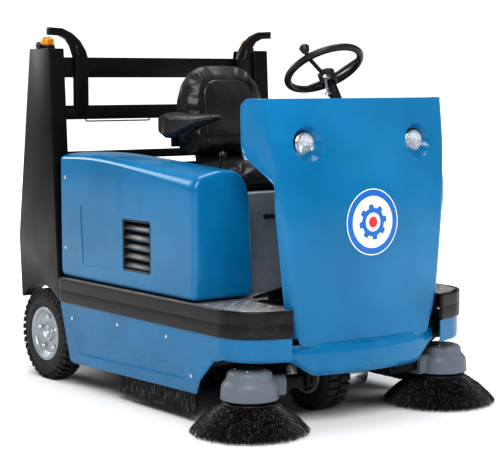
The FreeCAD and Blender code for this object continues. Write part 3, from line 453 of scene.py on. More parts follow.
def box(name, low, high, round=0.0, segments=2):
    corners = [(low[0], low[1]), (high[0], low[1]), (high[0], high[1]), (low[0], high[1])]
    return pushed(name, corners, "Z", low[2], high[2], round, segments)


# round bar along a list of points
def bar(name, route, radius, sides=12, caps=True):
    points = []
    route = [Vector(p) for p in route]
    turn = None
    for i, spot in enumerate(route):
        ahead = (route[min(i + 1, len(route) - 1)] - route[max(i - 1, 0)]).normalized()
        turn = ahead.orthogonal() if turn is None else turn - ahead * turn.dot(ahead)
        turn.normalize()
        up = ahead.cross(turn)
        thick = radius[i] if isinstance(radius, (list, tuple)) else radius
        for k in range(sides):
            angle = 2 * math.pi * k / sides
            points.append(spot + (turn * math.cos(angle) + up * math.sin(angle)) * thick)
    faces = ringFaces(len(route), sides)
    if caps:
        faces += [tuple(range(sides)), tuple((len(route) - 1) * sides + k for k in range(sides))]
    return meshPiece(name, points, faces)


def carve(piece, tool):
    modify(piece, "BOOLEAN", operation="DIFFERENCE", solver="EXACT", object=tool)
    settle(piece)
    bpy.data.objects.remove(tool)
    return piece


# a grid of points as a closed plate of even wall, thickened inwards
def plateFromGrid(name, rows, wall, inward=1, edge=0.0):
    high, wide = len(rows), len(rows[0])
    points = [p for row in rows for p in row]
    faces = [(r * wide + c, r * wide + c + 1, (r + 1) * wide + c + 1, (r + 1) * wide + c)
             for r in range(high - 1) for c in range(wide - 1)]
    mesh = bpy.data.meshes.new(name)
    mesh.from_pydata([tuple(p) for p in points], [], faces)
    piece = addObject(name, mesh)
    modify(piece, "SOLIDIFY", thickness=wall, offset=inward, use_even_offset=True)
    if edge:
        modify(piece, "BEVEL", width=edge, segments=2, limit_method="ANGLE", angle_limit=math.radians(50))
    return settle(piece)


# ---------- geometry nodes ----------

class Tree:
    def __init__(self, name):
        self.group = bpy.data.node_groups.new(name, "GeometryNodeTree")
        self.group.interface.new_socket("Geometry", in_out="OUTPUT", socket_type="NodeSocketGeometry")
        self.entry = self.group.nodes.new("NodeGroupInput")
        self.exit = self.group.nodes.new("NodeGroupOutput")
        self.inputs = {}

    def input(self, name, kind, value):
        socket = self.group.interface.new_socket(name, in_out="INPUT", socket_type=kind)
        if value is not None and hasattr(socket, "default_value"):
            socket.default_value = value
        self.inputs[name] = (socket.identifier, value)
        return self.entry.outputs[name]

    def add(self, kind, settings=None, inputs=None, output=0):
        node = self.group.nodes.new(kind)
        for key, value in (settings or {}).items():
            setattr(node, key, value)
        for key, value in (inputs or {}).items():
            if isinstance(value, bpy.types.NodeSocket):
                self.group.links.new(value, node.inputs[key])
            else:
                node.inputs[key].default_value = value
        return node.outputs[output]

    # runs the tree on a holder object and keeps the result as a plain mesh
    def run(self, name, geometry, finish):
        whole = self.add("GeometryNodeRealizeInstances", {}, {0: geometry})
        whole = self.add("GeometryNodeSetMaterial", {}, {"Geometry": whole, "Material": finishes[finish]})
        self.group.links.new(whole, self.exit.inputs[0])
        piece = addObject(name, bpy.data.meshes.new(name))
        modifier = piece.modifiers.new("Repeat", "NODES")
        modifier.node_group = self.group
        for identifier, value in self.inputs.values():
            if value is not None:
                modifier[identifier] = value
        return settle(piece)


# copies a small mesh onto points, each turned to its own direction
def repeated(name, shape, spots, turns, finish, sizes=None):
    host = bpy.data.meshes.new(name + "Spots")
    host.from_pydata([tuple(s) for s in spots], [], [])
    turn = host.attributes.new("turn", "FLOAT_VECTOR", "POINT")
    turn.data.foreach_set("vector", [c for t in turns for c in t])
    scale = host.attributes.new("scale", "FLOAT_VECTOR", "POINT")
    scale.data.foreach_set("vector", [c for s in (sizes or [(1, 1, 1)] * len(spots)) for c in s])
    holder = addObject(name + "Points", host)
    tree = Tree(name + "Repeat")
    points = tree.input("Points", "NodeSocketObject", holder)
    item = tree.input("Item", "NodeSocketObject", shape)
    cloud = tree.add("GeometryNodeObjectInfo", {"transform_space": "ORIGINAL"}, {"Object": points},
                     "Geometry")
    item = tree.add("GeometryNodeObjectInfo", {"transform_space": "ORIGINAL"}, {"Object": item}, "Geometry")
    turn = tree.add("GeometryNodeInputNamedAttribute", {"data_type": "FLOAT_VECTOR"}, {"Name": "turn"})
    turn = tree.add("FunctionNodeEulerToRotation", {}, {0: turn})
    size = tree.add("GeometryNodeInputNamedAttribute", {"data_type": "FLOAT_VECTOR"}, {"Name": "scale"})
    copies = tree.add("GeometryNodeInstanceOnPoints", {}, {"Points": cloud, "Instance": item,
                                                           "Rotation": turn, "Scale": size})
    piece = tree.run(name, copies, finish)
    for extra in (holder, shape):
        bpy.data.objects.remove(extra)
    return piece


# smooth curve through one column of a table whose first column is the place along it
def smoothTable(spot, table, column):
    keys = [row[0] for row in table]
    values = [row[column] for row in table]
    if spot <= keys[0]:
        return values[0]
    for i in range(len(keys) - 1):
        if spot <= keys[i + 1]:
            t = (spot - keys[i]) / (keys[i + 1] - keys[i])
            ends = []
            for k in (i, i + 1):
                a, b = max(k - 1, 0), min(k + 1, len(keys) - 1)
                ends.append((values[b] - values[a]) / (keys[b] - keys[a]) * (keys[i + 1] - keys[i]))
            return ((2 * t ** 3 - 3 * t ** 2 + 1) * values[i] + (t ** 3 - 2 * t ** 2 + t) * ends[0]
                    + (3 * t ** 2 - 2 * t ** 3) * values[i + 1] + (t ** 3 - t ** 2) * ends[1])
    return values[-1]


# soft step from 0 to 1
def ease(value):
    value = min(1, max(0, value))
    return value * value * (3 - 2 * value)


# ---------- front cowl, apron and badge ----------

cowl = {
    # height, crease x, crease y, middle y, wing x, wing y
    "rows": [(0.318, 0.330, -0.812, -0.832, 0.340, -0.792), (0.467, 0.359, -0.816, -0.842, 0.372, -0.790),
             (0.728, 0.387, -0.813, -0.847, 0.402, -0.785), (0.900, 0.404, -0.800, -0.842, 0.430, -0.775),
             (1.003, 0.420, -0.787, -0.825, 0.452, -0.700), (1.090, 0.431, -0.772, -0.802, 0.465, -0.650),
             (1.243, 0.437, -0.748, -0.775, 0.470, -0.645)],
    # height and how far back the edge reaches
    "rear": [(0.318, -0.790), (0.728, -0.786), (0.905, -0.787), (0.937, -0.778), (0.968, -0.742),
             (1.010, -0.690), (1.040, -0.657), (1.062, -0.646), (1.212, -0.6455), (1.232, -0.652),
             (1.243, -0.672)],
    "corner": 0.022, "wall": 0.005, "lampX": 0.272, "lampZ": 1.075, "lampHole": 0.044, "lampRim": 0.068,
    "lampDeep": 0.030, "lowCorner": 0.034, "lowReach": 0.43,
}


def cowlFront(x, z):
    creaseX, creaseY, middle = (smoothTable(z, cowl["rows"], k) for k in (1, 2, 3))
    return middle + (creaseY - middle) * (x / creaseX) ** 2


def cowlRow(z):
    creaseX, creaseY, wingX, wingY = (smoothTable(z, cowl["rows"], k) for k in (1, 2, 4, 5))
    rearY = smoothTable(z, cowl["rear"], 1)
    lampLow, lampHigh = 0.455, 0.815
    shares = [lampLow * k / 18 for k in range(18)]
    shares += [lampLow + (lampHigh - lampLow) * k / 52 for k in range(52)]
    shares += [lampHigh + (0.955 - lampHigh) * k / 5 for k in range(6)]
    half = [(share * creaseX, cowlFront(share * creaseX, z)) for share in shares]
    rearX = creaseX + (wingX - creaseX) * (rearY - creaseY) / (wingY - creaseY)
    start = Vector(half[-1])
    crease = Vector((creaseX, creaseY))
    rear = Vector((rearX, rearY))
    reach = min(cowl["corner"], 0.6 * (rear - crease).length)
    stop = crease + (rear - crease).normalized() * reach
    for k in range(1, 9):
        t = k / 8
        half.append(tuple(start.lerp(crease, t).lerp(crease.lerp(stop, t), t)))
    for k in range(1, 13):
        half.append(tuple(stop.lerp(rear, k / 12)))
    row = []
    for x, y in half:
        reachLamp = math.hypot(x - cowl["lampX"], z - cowl["lampZ"])
        dent = 1 - (reachLamp - cowl["lampHole"]) / (cowl["lampRim"] - cowl["lampHole"])
        dent = min(1, max(0, dent))
        dent = dent if dent < 0.9 else 0.9 + 0.1 * ease((dent - 0.9) * 10)
        low = cowl["rows"][0][0]
        past = min(cowl["lowCorner"], max(0.0, x - cowl["rows"][0][1] + cowl["lowCorner"]))
        rise = cowl["lowCorner"] - math.sqrt(cowl["lowCorner"] ** 2 - past ** 2)
        share = max(0.0, (cowl["lowReach"] - z) / (cowl["lowReach"] - low))
        row.append((x, y + cowl["lampDeep"] * (dent * dent * (1.15 - 0.15 * dent) if dent < 0.12 else dent),
                    z + rise * share))
    return [(-x, y, z) for x, y, z in row[:0:-1]] + row


def makeCowl():
    heights = [0.318 + (1.0 - 0.318) * k / 60 for k in range(60)]
    heights += [1.0 + 0.15 * k / 56 for k in range(56)]
    heights += [1.15 + 0.085 * k / 7 for k in range(8)] + [1.2385, 1.2415, 1.243]
    grid = [cowlRow(z) for z in heights]
    shell = plateFromGrid("frontCowlShell", grid, cowl["wall"], -1, 0.0016)
    declare(shell, "chassis", "blue", ["front_cowl"], 42)
    # rolled lip round the top and the wings
    edge = [Vector(grid[r][0]) for r in range(0, len(grid), 2)] + [Vector(p) for p in grid[-1][::3]]
    edge += [Vector(grid[r][-1]) for r in range(len(grid) - 1, -1, -2)]
    lip = bar("cowlRolledLip", [p + Vector((0, 0.0035, -0.0035 if p.z > 1.2 else 0)) for p in edge], 0.0042,
              8)
    declare(lip, "chassis", "blue")


apron = {"low": 0.206, "endLow": 0.268, "top": 0.317, "half": 0.372, "rise": 0.125, "front": -0.862,
         "sideFront": -0.776, "sideAt": 0.4, "curl": 0.010, "curlHigh": 0.018, "wall": 0.005}


def makeApron():
    grid = []
    for k in range(14):
        row = []
        for i in range(61):
            x = apron["half"] * (i / 30 - 1)
            inward = ease((apron["half"] - abs(x)) / apron["rise"])
            floor = apron["endLow"] - (apron["endLow"] - apron["low"]) * inward
            z = floor + (apron["top"] - floor) * k / 13
            y = apron["front"] + (apron["sideFront"] - apron["front"]) * (x / apron["sideAt"]) ** 2
            roll = apron["curl"] * (1 - ease((z - floor) / apron["curlHigh"]))
            roll += 0.006 * ease((z - 0.29) / 0.027)
            row.append((x, y + roll + 0.001, z))
        grid.append(row)
    top = grid[-1]
    for k in range(1, 7):
        t = k / 6
        row = []
        for x, y, z in top:
            meet = cowlFront(math.copysign(min(abs(x), 0.325), x), 0.33) - 0.0015
            row.append((x, y + (max(meet, y) - y) * t, z + 0.010 * ease(t)))
        grid.append(row)
    lip = plateFromGrid("frontApronLip", grid, apron["wall"], -1, 0.0015)
    declare(lip, "chassis", "blue", ["front_apron"], 40)


badge = {"high": 0.775, "teeth": 8, "tip": 0.068, "root": 0.055}


# flat shape laid on the cowl's bow, a little proud of it
def onCowl(name, outline, lift, finish, hole=None):
    points = []
    inner = hole or [(0.0, 0.0)] * len(outline)
    rings = 7
    for k in range(rings + 1):
        for (ax, az), (bx, bz) in zip(inner, outline):
            x, z = ax + (bx - ax) * k / rings, badge["high"] + az + (bz - az) * k / rings
            points.append((x, cowlFront(x, z) - lift, z))
    mesh = bpy.data.meshes.new(name)
    mesh.from_pydata(points, [], ringFaces(rings + 1, len(outline)))
    piece = addObject(name, mesh)
    work = bmesh.new()
    work.from_mesh(mesh)
    bmesh.ops.remove_doubles(work, verts=work.verts, dist=0.00001)
    for face in work.faces:
        face.normal_update()
        if face.normal.y > 0:
            face.normal_flip()
    work.to_mesh(mesh)
    work.free()
    modify(piece, "SOLIDIFY", thickness=0.0003, offset=-1)
    return declare(settle(piece), "chassis", finish)


def circle(radius, steps=96):
    return [(radius * math.cos(2 * math.pi * k / steps), radius * math.sin(2 * math.pi * k / steps))
            for k in range(steps)]


# plain round badge: rings with a toothed wheel and a dot, which stand for no maker
def makeBadge():
    onCowl("badgeOuterRing", circle(0.127), 0.0007, "white", circle(0.1235))
    onCowl("badgeBlueRing", circle(0.1235), 0.0006, "badgeBlue", circle(0.099))
    onCowl("badgeDisc", circle(0.099), 0.0007, "white")
    teeth = []
    for k in range(96):
        turn = 2 * math.pi * k / 96
        radius = badge["tip"] if k * badge["teeth"] * 2 // 96 % 2 == 0 else badge["root"]
        teeth.append((radius * math.cos(turn), radius * math.sin(turn)))
    onCowl("badgeWheel", teeth, 0.0012, "badgeBlue", circle(0.036))
    onCowl("badgeDot", circle(0.021), 0.0012, "badgeRed")


lamp = {"facets": 24}


# sealed lamp: bezel, faceted bowl, bulb and a fluted domed lens
def makeLamps():
    bowls, lenses, rings, bulbs, cups = [], [], [], [], []
    for side in (-1, 1):
        x, z = side * cowl["lampX"], cowl["lampZ"]
        y = cowlFront(x, z) + cowl["lampDeep"]
        centre, ahead = (x, y - 0.001, z), (0, -1, 0)
        rings.append(lathe("bezel", soften([(0.0435, -0.004), (0.0445, 0.004), (0.040, 0.0085),
                                            (0.037, 0.006), (0.037, -0.004)], 0.0015), centre, ahead, 64,
                           True))
        bowl = [(0.0, 0.0005), (0.008, 0.0006), (0.02, 0.0018), (0.030, 0.004), (0.037, 0.007), (0.037, 0.0),
                (0.0, -0.001)]
        bowls.append(lathe("bowl", bowl, centre, ahead, lamp["facets"]))
        dome = [(0.0372 * math.sin(k * 0.13), 0.0075 + 0.0075 * math.cos(k * 0.13)) for k in range(13)]
        lenses.append(lathe("lens", dome + [(0.036, 0.0065), (0.0, 0.0125)], centre, ahead, 64))
        cup = soften([(0.0, -0.034), (0.032, -0.034), (0.046, -0.020), (0.052, -0.004), (0.046, 0.0),
                      (0.0, -0.002)], 0.003)
        cups.append(lathe("cup", cup, centre, ahead, 48))
        bulbs.append(lathe("bulb", [(0.0, 0.0095), (0.006, 0.009), (0.0085, 0.006), (0.0085, 0.001),
                                    (0.0, 0.001)], centre, ahead, 24))
    declare(join("lampBezels", rings), "chassis", "plated", ["headlights"])
    declare(join("lampBowls", bowls), "chassis", "plated", (), 20)
    declare(join("lampLenses", lenses), "chassis", "glass")
    declare(join("lampBulbs", bulbs), "chassis", "white")
    declare(join("lampCups", cups), "chassis", "plastic")


makeCowl()
makeApron()
makeBadge()
makeLamps()
print("cowl made")


# ---------- side panels: guard strip, skirt, housing, louvre ----------

side = {"half": 0.588, "rear": 0.528, "corner": 0.174, "noseX": 0.374, "noseY": 0.838,
        "slope": math.radians(17)}


# right side's plan route, moved inwards: rear end, side, corner arc, nose
def sideRoute(inset, stations):
    half, radius = side["half"] - inset, side["corner"] - inset
    noseY = -side["noseY"] + inset / math.cos(side["slope"])
    cornerY = noseY + (half - side["noseX"]) * math.tan(side["slope"])
    reach = radius * math.tan((math.pi / 2 - side["slope"]) / 2)
    centre = Vector((-half + radius, cornerY + reach))
    route = [(-half, y) for y in stations if y > centre.y]
    for k in range(25):
        turn = math.pi + (math.pi / 2 - side["slope"]) * k / 24
        route.append((centre.x + radius * math.cos(turn), centre.y + radius * math.sin(turn)))
    end = Vector(route[-1])
    for k in range(1, 7):
        route.append(tuple(end.lerp(Vector((-side["noseX"], noseY)), k / 6)))
    return route


def bothSides(name, grid, wall, finish, node, edge, smooth=40):
    for word, flip in (("right", False), ("left", True)):
        rows = [[(-x, y, z) for x, y, z in row[::-1]] for row in grid] if flip else grid
        plate = plateFromGrid(name + word.title(), rows, wall, -1, edge)
        declare(plate, "chassis", finish, ["%s_%s" % (word, node)], smooth)


def makeStrips():
    stations = [side["rear"] - k * 0.03 for k in range(45)]
    grid = []
    # height and how far the face is set in there
    profile = [(0.363, 0.0035), (0.3655, 0.0008), (0.370, 0.0), (0.414, 0.0), (0.4155, 0.0006), (0.417, 0.0),
               (0.460, 0.0), (0.4645, 0.0008), (0.467, 0.0035)]
    for z, tuck in profile:
        inner = sideRoute(tuck, stations)
        grid.append([(x, y, z) for x, y in inner])
    bothSides("guardStrip", grid, 0.013, "strip", "bumper", 0.001)


skirtEdge = [(-0.900, 0.270), (-0.671, 0.279), (-0.613, 0.265), (-0.527, 0.183), (-0.500, 0.124),
             (0.450, 0.107), (0.531, 0.356)]


def edgeAt(y, table):
    for (a, za), (b, zb) in zip(table, table[1:]):
        if y <= b:
            return za + (zb - za) * (y - a) / (b - a)
    return table[-1][1]


def makeSkirts():
    stations = [0.528 - 0.004 * k for k in range(20)] + [0.446 - 0.03 * k for k in range(31)]
    stations += [-0.486 - 0.005 * k for k in range(36)]
    route = sideRoute(0.008, stations)
    grid = []
    count = 56
    for k in range(count):
        row = []
        for x, y in route:
            low = edgeAt(y, skirtEdge) + (0.004 if y > 0.44 else 0)
            z = low + (0.362 - low) * k / (count - 1)
            top = 0.208 + (y + 0.44) / 0.833 * 0.048
            base = 0.171 - (y + 0.426) / 0.775 * 0.018
            inside = min(top - z, z - base, 0.37 - y, y + 0.433)
            sink = 0.0028 * ease(inside / 0.007)
            sink += 0.004 * (1 - ease((z - low) / 0.010))
            sink += 0.003 * (1 - ease(abs(x + 0.49) / 0.0035)) if y < -0.70 else 0
            row.append((x + sink if y > -0.72 else x + sink * 0.3, y + (0 if y > -0.72 else sink), z))
        grid.append(row)
    bothSides("lowerSkirt", grid, 0.004, "blue", "skirt", 0.0)


housing = {"outer": 0.575, "inner": 0.290, "low": 0.475, "top": 1.008, "front": -0.483, "rear": 0.532,
           "rows": [(-0.503, 0.041, 0.102), (0.0, 0.012, 0.040), (0.28, 0.0, 0.020), (0.552, 0.005, 0.025)]}


def housingProfile(y):
    outer, inner, low = -housing["outer"], -housing["inner"], housing["low"]
    ridge = housing["top"] - smoothTable(y, housing["rows"], 1)
    crease = housing["top"] - smoothTable(y, housing["rows"], 2)
    rise = ridge - crease
    corners = [(outer, low), (outer, crease), (outer + 0.028, crease + 0.62 * rise), (outer + 0.12, ridge),
               (inner - 0.078, ridge - 0.003), (inner - 0.040, ridge - 0.042), (inner - 0.016, ridge - 0.110),
               (inner, low)]
    return soften(corners, 0.022, 4)


def makeHousings():
    for word, turn in (("right", 1), ("left", -1)):
        spots = [housing["front"] + (housing["rear"] - housing["front"]) * k / 26 for k in range(27)]
        points = []
        count = len(housingProfile(0))
        for y in spots:
            points += [(turn * x, y, z) for x, z in housingProfile(y)]
        last = (len(spots) - 1) * count
        faces = ringFaces(len(spots), count) + [tuple(range(count)), tuple(range(last, last + count))]
        cover = meshPiece("sideHousing" + word.title(), points, faces)
        modify(cover, "BEVEL", width=0.026, segments=6, limit_method="ANGLE", angle_limit=math.radians(60))
        settle(cover)
        wall = -turn * housing["outer"]
        ends = (-0.65, -0.2) if turn > 0 else (0.2, 0.65)
        carve(cover, pushed("heel", [(0.54, 0.40), (0.54, 0.55), (0.46, 0.40)], "X", *ends))
        window = box("window", (min(wall, wall + turn * 0.03) - 0.01, -0.183, 0.547),
                     (max(wall, wall + turn * 0.03) + (0.01 if turn < 0 else 0), 0.027, 0.757), 0.012, 3)
        carve(cover, window)
        # pressed rectangle behind the louvre, sunk a little into the panel
        outline = [(0.361, 0.784), (0.342, 0.537), (0.063, 0.543), (0.067, 0.767)]
        carve(cover, pushed("pressing", outline, "X", min(wall - 0.02 * turn, wall + 0.0022 * turn),
                            max(wall - 0.02 * turn, wall + 0.0022 * turn), 0.0))
        declare(cover, "chassis", "blue", [word + "_housing"], 32)
        refine(word + "_louvre", "plastic", 0.0015)


makeStrips()
makeSkirts()
makeHousings()
print("side panels made")


# turn that lays a shape's Z axis along a direction and leans its X axis towards another
def posed(direction, lean):
    ahead = Vector(direction).normalized()
    lean = Vector(lean)
    lean = (lean - ahead * lean.dot(ahead)).normalized()
    return tuple(Matrix((lean, ahead.cross(lean), ahead)).transposed().to_euler())


# ---------- side brooms ----------

broom = {"x": 0.483, "y": -0.711, "tufts": 2300, "seed": 11, "thick": 0.0014, "coneHigh": 0.116,
         "rootHigh": 0.120, "roots": (0.060, 0.074, 0.086), "reaches": (0.168, 0.196, 0.221),
         "longest": 0.2275}


# one bristle of unit length, bowed a little and drawn out to a thin tip
def bristleShape(thick, bow=0.010, steps=4, tip=0.55):
    points = []
    for k in range(steps + 1):
        t = k / steps
        reach = thick * (1 - (1 - tip) * t)
        for c in range(3):
            turn = 2 * math.pi * c / 3
            points.append((reach * math.cos(turn) + bow * math.sin(math.pi * t), reach * math.sin(turn), t))
    faces = ringFaces(steps + 1, 3) + [(2, 1, 0), tuple(steps * 3 + c for c in range(3))]
    return meshPiece("bristleShape", points, faces)


def makeBrooms():
    for word, flip in (("right", -1), ("left", 1)):
        body = word + "_side_broom"
        x, y = flip * broom["x"], broom["y"]
        spread = np.random.default_rng(broom["seed"] + flip)
        spots, turns, sizes = [], [], []
        for k in range(broom["tufts"]):
            angle = 2 * math.pi * (k * 0.6180339 % 1) + spread.normal(0, 0.03)
            ring = broom["roots"][k % 3] + spread.normal(0, 0.003)
            reach = broom["reaches"][k % 3] + spread.normal(0, 0.006)
            reach = min(reach, broom["longest"])
            low = 0.003 + abs(spread.normal(0, 0.004)) + (0.004 if k % 3 == 2 else 0)
            out = Vector((math.cos(angle), math.sin(angle), 0))
            sway = angle + spread.normal(0, 0.035)
            tip = Vector((x + reach * math.cos(sway), y + reach * math.sin(sway), low))
            start = Vector((x, y, broom["rootHigh"])) + out * ring
            spots.append(start)
            turns.append(posed(tip - start, out + Vector((0, 0, 0.6))))
            sizes.append((1, 1, (tip - start).length))
        shape = bristleShape(broom["thick"])
        hair = repeated(word + "BroomBristles", shape, spots, turns, "bristle", sizes)
        declare(hair, body, "bristle", [body], None)
        cone = lathe("cone", [(0.0, broom["coneHigh"]), (0.082, broom["coneHigh"]), (0.128, 0.070),
                              (0.178, 0.012), (0.150, 0.010), (0.060, 0.080), (0.0, 0.082)], (x, y, 0),
                     steps=72)
        declare(cone, body, "bristle")
        cone.name = word + "BroomCore"
        plate = lathe(word + "BroomPlate", soften([(0.0, 0.124), (0.098, 0.124), (0.104, 0.118),
                                                   (0.100, 0.106), (0.0, 0.106)], 0.002), (x, y, 0), steps=72)
        declare(plate, body, "plastic")


# stepped dome over each broom, its snout running in to the arm
def makeBroomCovers():
    for word, flip in (("right", -1), ("left", 1)):
        body = word + "_broom_arm"
        x, y = flip * broom["x"], broom["y"]
        profile = [(0.108, 0.131), (0.110, 0.134), (0.108, 0.170), (0.1055, 0.185), (0.0955, 0.2005),
                   (0.0935, 0.2025), (0.0905, 0.204), (0.0885, 0.2075), (0.0845, 0.228), (0.078, 0.2365),
                   (0.066, 0.2405), (0.0, 0.2415), (0.0, 0.2375), (0.062, 0.2365), (0.081, 0.225),
                   (0.086, 0.200), (0.1015, 0.180), (0.104, 0.131)]
        dome = lathe("dome", soften(profile, 0.004, 3, True)[:-1], (x, y, 0), steps=96, closed=True)
        declare(dome, body, "grey", [word + "_broom_cover"], 30)
        dome.name = word + "BroomDome"
        inner, outer = x - flip * 0.145, x - flip * 0.088
        snout = pushed(word + "BroomSnout", soften([(y - 0.040, 0.133), (y - 0.040, 0.196),
                                                    (y - 0.030, 0.212), (y + 0.030, 0.212),
                                                    (y + 0.040, 0.196), (y + 0.040, 0.133)], 0.008, 3, True),
                       "X", min(inner, outer), max(inner, outer), 0.006, 3)
        declare(snout, body, "grey")
        refine(word + "_broom_arm", "black", 0.0025)
        caps = []
        for k in range(4):
            turn = math.pi / 4 + k * math.pi / 2
            spot = (x + 0.055 * math.cos(turn), y + 0.055 * math.sin(turn), 0.2408)
            caps.append(lathe("cap", soften([(0.0, 0.004), (0.005, 0.0035), (0.0062, 0.0), (0.0, -0.001)],
                                            0.0008), spot, steps=16))
        declare(join(word + "BroomCaps", caps), body, "plated")


# ---------- wheels ----------

wheels = {"rear": {"y": 0.687, "z": 0.200, "radius": 0.200, "half": 0.050, "outer": 0.575, "lugs": 38},
          "front": {"y": -0.510, "z": 0.150, "radius": 0.150, "half": 0.0625, "lugs": 26}}


def lugShape(long, wide, high, skew=0.0):
    points = []
    for z, shrink in ((0.0, 1.0), (high * 0.8, 0.94), (high, 0.86)):
        for a, b in ((-1, -1), (1, -1), (1, 1), (-1, 1)):
            points.append((a * long / 2 * shrink, b * wide / 2 * shrink + a * skew * shrink, z))
    faces = [(3, 2, 1, 0), (8, 9, 10, 11)] + ringFaces(3, 4)
    return meshPiece("lug", points, faces)


# lugs lie round an X axis: local Z out from the axle, local X along it
def lugRing(name, centre, radius, along, count, shape, phase=0.0, tilt=0.0):
    spots, turns = [], []
    for k in range(count):
        turn = 2 * math.pi * (k + phase) / count
        out = Vector((0, math.cos(turn), math.sin(turn)))
        spots.append(Vector(centre) + Vector((along, 0, 0)) + out * radius)
        turns.append(posed(out + Vector((tilt, 0, 0)), (1, 0, 0)))
    return repeated(name, shape, spots, turns, "rubber")


def makeRearWheels():
    w = wheels["rear"]
    for word, flip in (("right", -1), ("left", 1)):
        body = word + "_rear_wheel"
        face = flip * w["outer"]
        middle = face - flip * w["half"]
        centre, axle = (middle, w["y"], w["z"]), (flip, 0, 0)
        tyre = [(0.118, -0.038), (0.122, -0.046), (0.150, -0.0495), (0.172, -0.047), (0.184, -0.040),
                (0.188, -0.030), (0.189, 0.0), (0.188, 0.030), (0.184, 0.040), (0.172, 0.047),
                (0.1685, 0.0475), (0.1675, 0.0487), (0.1655, 0.0487), (0.1645, 0.0477), (0.150, 0.0495),
                (0.1405, 0.0492), (0.1395, 0.0497), (0.1375, 0.0497), (0.1365, 0.049), (0.122, 0.046),
                (0.118, 0.038)]
        carcass = lathe(word + "RearTyre", tyre, centre, axle, 128, True)
        declare(carcass, body, "rubber", [word + "_rear_tyre"], 30)
        parts = []
        for side, sign in (("Outer", 1), ("Inner", -1)):
            lug = lugShape(0.046, 0.0185, 0.0125, 0.0075 * sign)
            parts.append(lugRing("lug" + side, centre, 0.1872, sign * 0.0235, w["lugs"], lug,
                                 phase=0.0 if sign > 0 else 0.5))
            shoulder = lugShape(0.026, 0.0165, 0.0065)
            parts.append(lugRing("shoulder" + side, centre, 0.1775, sign * 0.0425, w["lugs"], shoulder,
                                 phase=0.0 if sign > 0 else 0.5, tilt=sign * 1.0))
        declare(join(word + "RearTread", parts), body, "rubber", (), 25)
        dish = [(0.0, 0.034), (0.030, 0.034), (0.034, 0.031), (0.036, 0.022), (0.060, 0.0185), (0.086, 0.022),
                (0.092, 0.029), (0.098, 0.032), (0.102, 0.041), (0.112, 0.0455), (0.117, 0.046),
                (0.1185, 0.043), (0.1185, -0.043), (0.112, -0.0455), (0.104, -0.020), (0.0, -0.020)]
        rim = lathe(word + "RearRim", soften(dish, 0.0025, 3), centre, axle, 96)
        declare(rim, body, "zinc", [word + "_rear_rim"], 30)
        bolts = []
        for k in range(5):
            turn = 2 * math.pi * k / 5 + 0.3
            spot = (middle + flip * 0.018, w["y"] + 0.073 * math.cos(turn), w["z"] + 0.073 * math.sin(turn))
            bolts.append(lathe("bolt", [(0.0, 0.016), (0.0055, 0.016), (0.006, 0.015), (0.006, 0.009)], spot,
                               axle, 12))
            bolts.append(lathe("nut", [(0.0, 0.0105), (0.0095, 0.0105), (0.0105, 0.0095), (0.0105, 0.0),
                                       (0.0, 0.0)], spot, axle, 6))
        cap = [(0.0, 0.0455), (0.012, 0.0455), (0.018, 0.043), (0.020, 0.038), (0.021, 0.033), (0.0, 0.033)]
        bolts.append(lathe("cap", cap, centre, axle, 32))
        declare(join(word + "RearBolts", bolts), body, "plated", (), 25)


def makeFrontWheel():
    w = wheels["front"]
    centre, axle = (0, w["y"], w["z"]), (1, 0, 0)
    tyre = [(0.086, -0.052), (0.090, -0.058), (0.118, -0.0615), (0.131, -0.058), (0.137, -0.050),
            (0.139, 0.0), (0.137, 0.050), (0.131, 0.058), (0.118, 0.0615), (0.090, 0.058), (0.086, 0.052)]
    declare(lathe("frontTyre", soften(tyre, 0.003, 3, True), centre, axle, 112, True), "front_wheel",
            "rubber", ["front_tyre"], 30)
    rows = []
    for sign in (-1, 1):
        rows.append(lugRing("block", centre, 0.1375, sign * 0.0295, w["lugs"],
                            lugShape(0.050, 0.0245, 0.0122), phase=0.25 * sign))
    declare(join("frontTread", rows), "front_wheel", "rubber", (), 25)
    refine("front_rim", "zinc", 0.0015)


makeBrooms()
makeBroomCovers()
makeRearWheels()
makeFrontWheel()
print("brooms and wheels made")


# ---------- seat ----------

seat = {"voxel": 0.0058, "pressure": 4.0, "frames": 20, "cap": 0.022, "groove": 0.0065, "grooveWide": 0.0075,
        "stitch": 0.0085, "stitchLong": 0.0052}


# swells a closed solid like a stuffed pad; points for which hold is true stay where they are
def stuff(piece, hold, voxel, cap, pressure):
    modify(piece, "REMESH", mode="VOXEL", voxel_size=voxel, use_smooth_shade=True)
    settle(piece)
    mesh = piece.data
    count = len(mesh.vertices)
    start = np.empty(count * 3)
    mesh.vertices.foreach_get("co", start)
    start = start.reshape(-1, 3)
    held = np.array([bool(hold(p)) for p in start])
    group = piece.vertex_groups.new(name="held")
    group.add([int(i) for i in np.nonzero(held)[0]], 1.0, "REPLACE")
    cloth = modify(piece, "CLOTH")
    cloth.settings.use_pressure = True
    cloth.settings.uniform_pressure_force = pressure
    cloth.settings.vertex_group_mass = "held"
    cloth.settings.effector_weights.gravity = 0
    cloth.settings.quality = 5
    cloth.settings.tension_stiffness = 25
    cloth.settings.compression_stiffness = 25
    cloth.settings.bending_stiffness = 1.5
    cloth.point_cache.frame_start, cloth.point_cache.frame_end = 1, seat["frames"]
    for step in range(1, seat["frames"] + 1):
        bpy.context.scene.frame_set(step)
    settle(piece)
    bpy.context.scene.frame_set(1)
    mesh = piece.data
    moved = np.empty(count * 3)
    mesh.vertices.foreach_get("co", moved)
    moved = moved.reshape(-1, 3) - start
    reach = np.linalg.norm(moved, axis=1, keepdims=True)
    moved *= np.minimum(1.0, cap / np.maximum(reach, 1e-9))
    mesh.vertices.foreach_set("co", (start + moved).ravel())
    modify(piece, "SMOOTH", factor=0.5, iterations=14)
    modify(piece, "SUBSURF", levels=1, render_levels=1)
    return settle(piece)


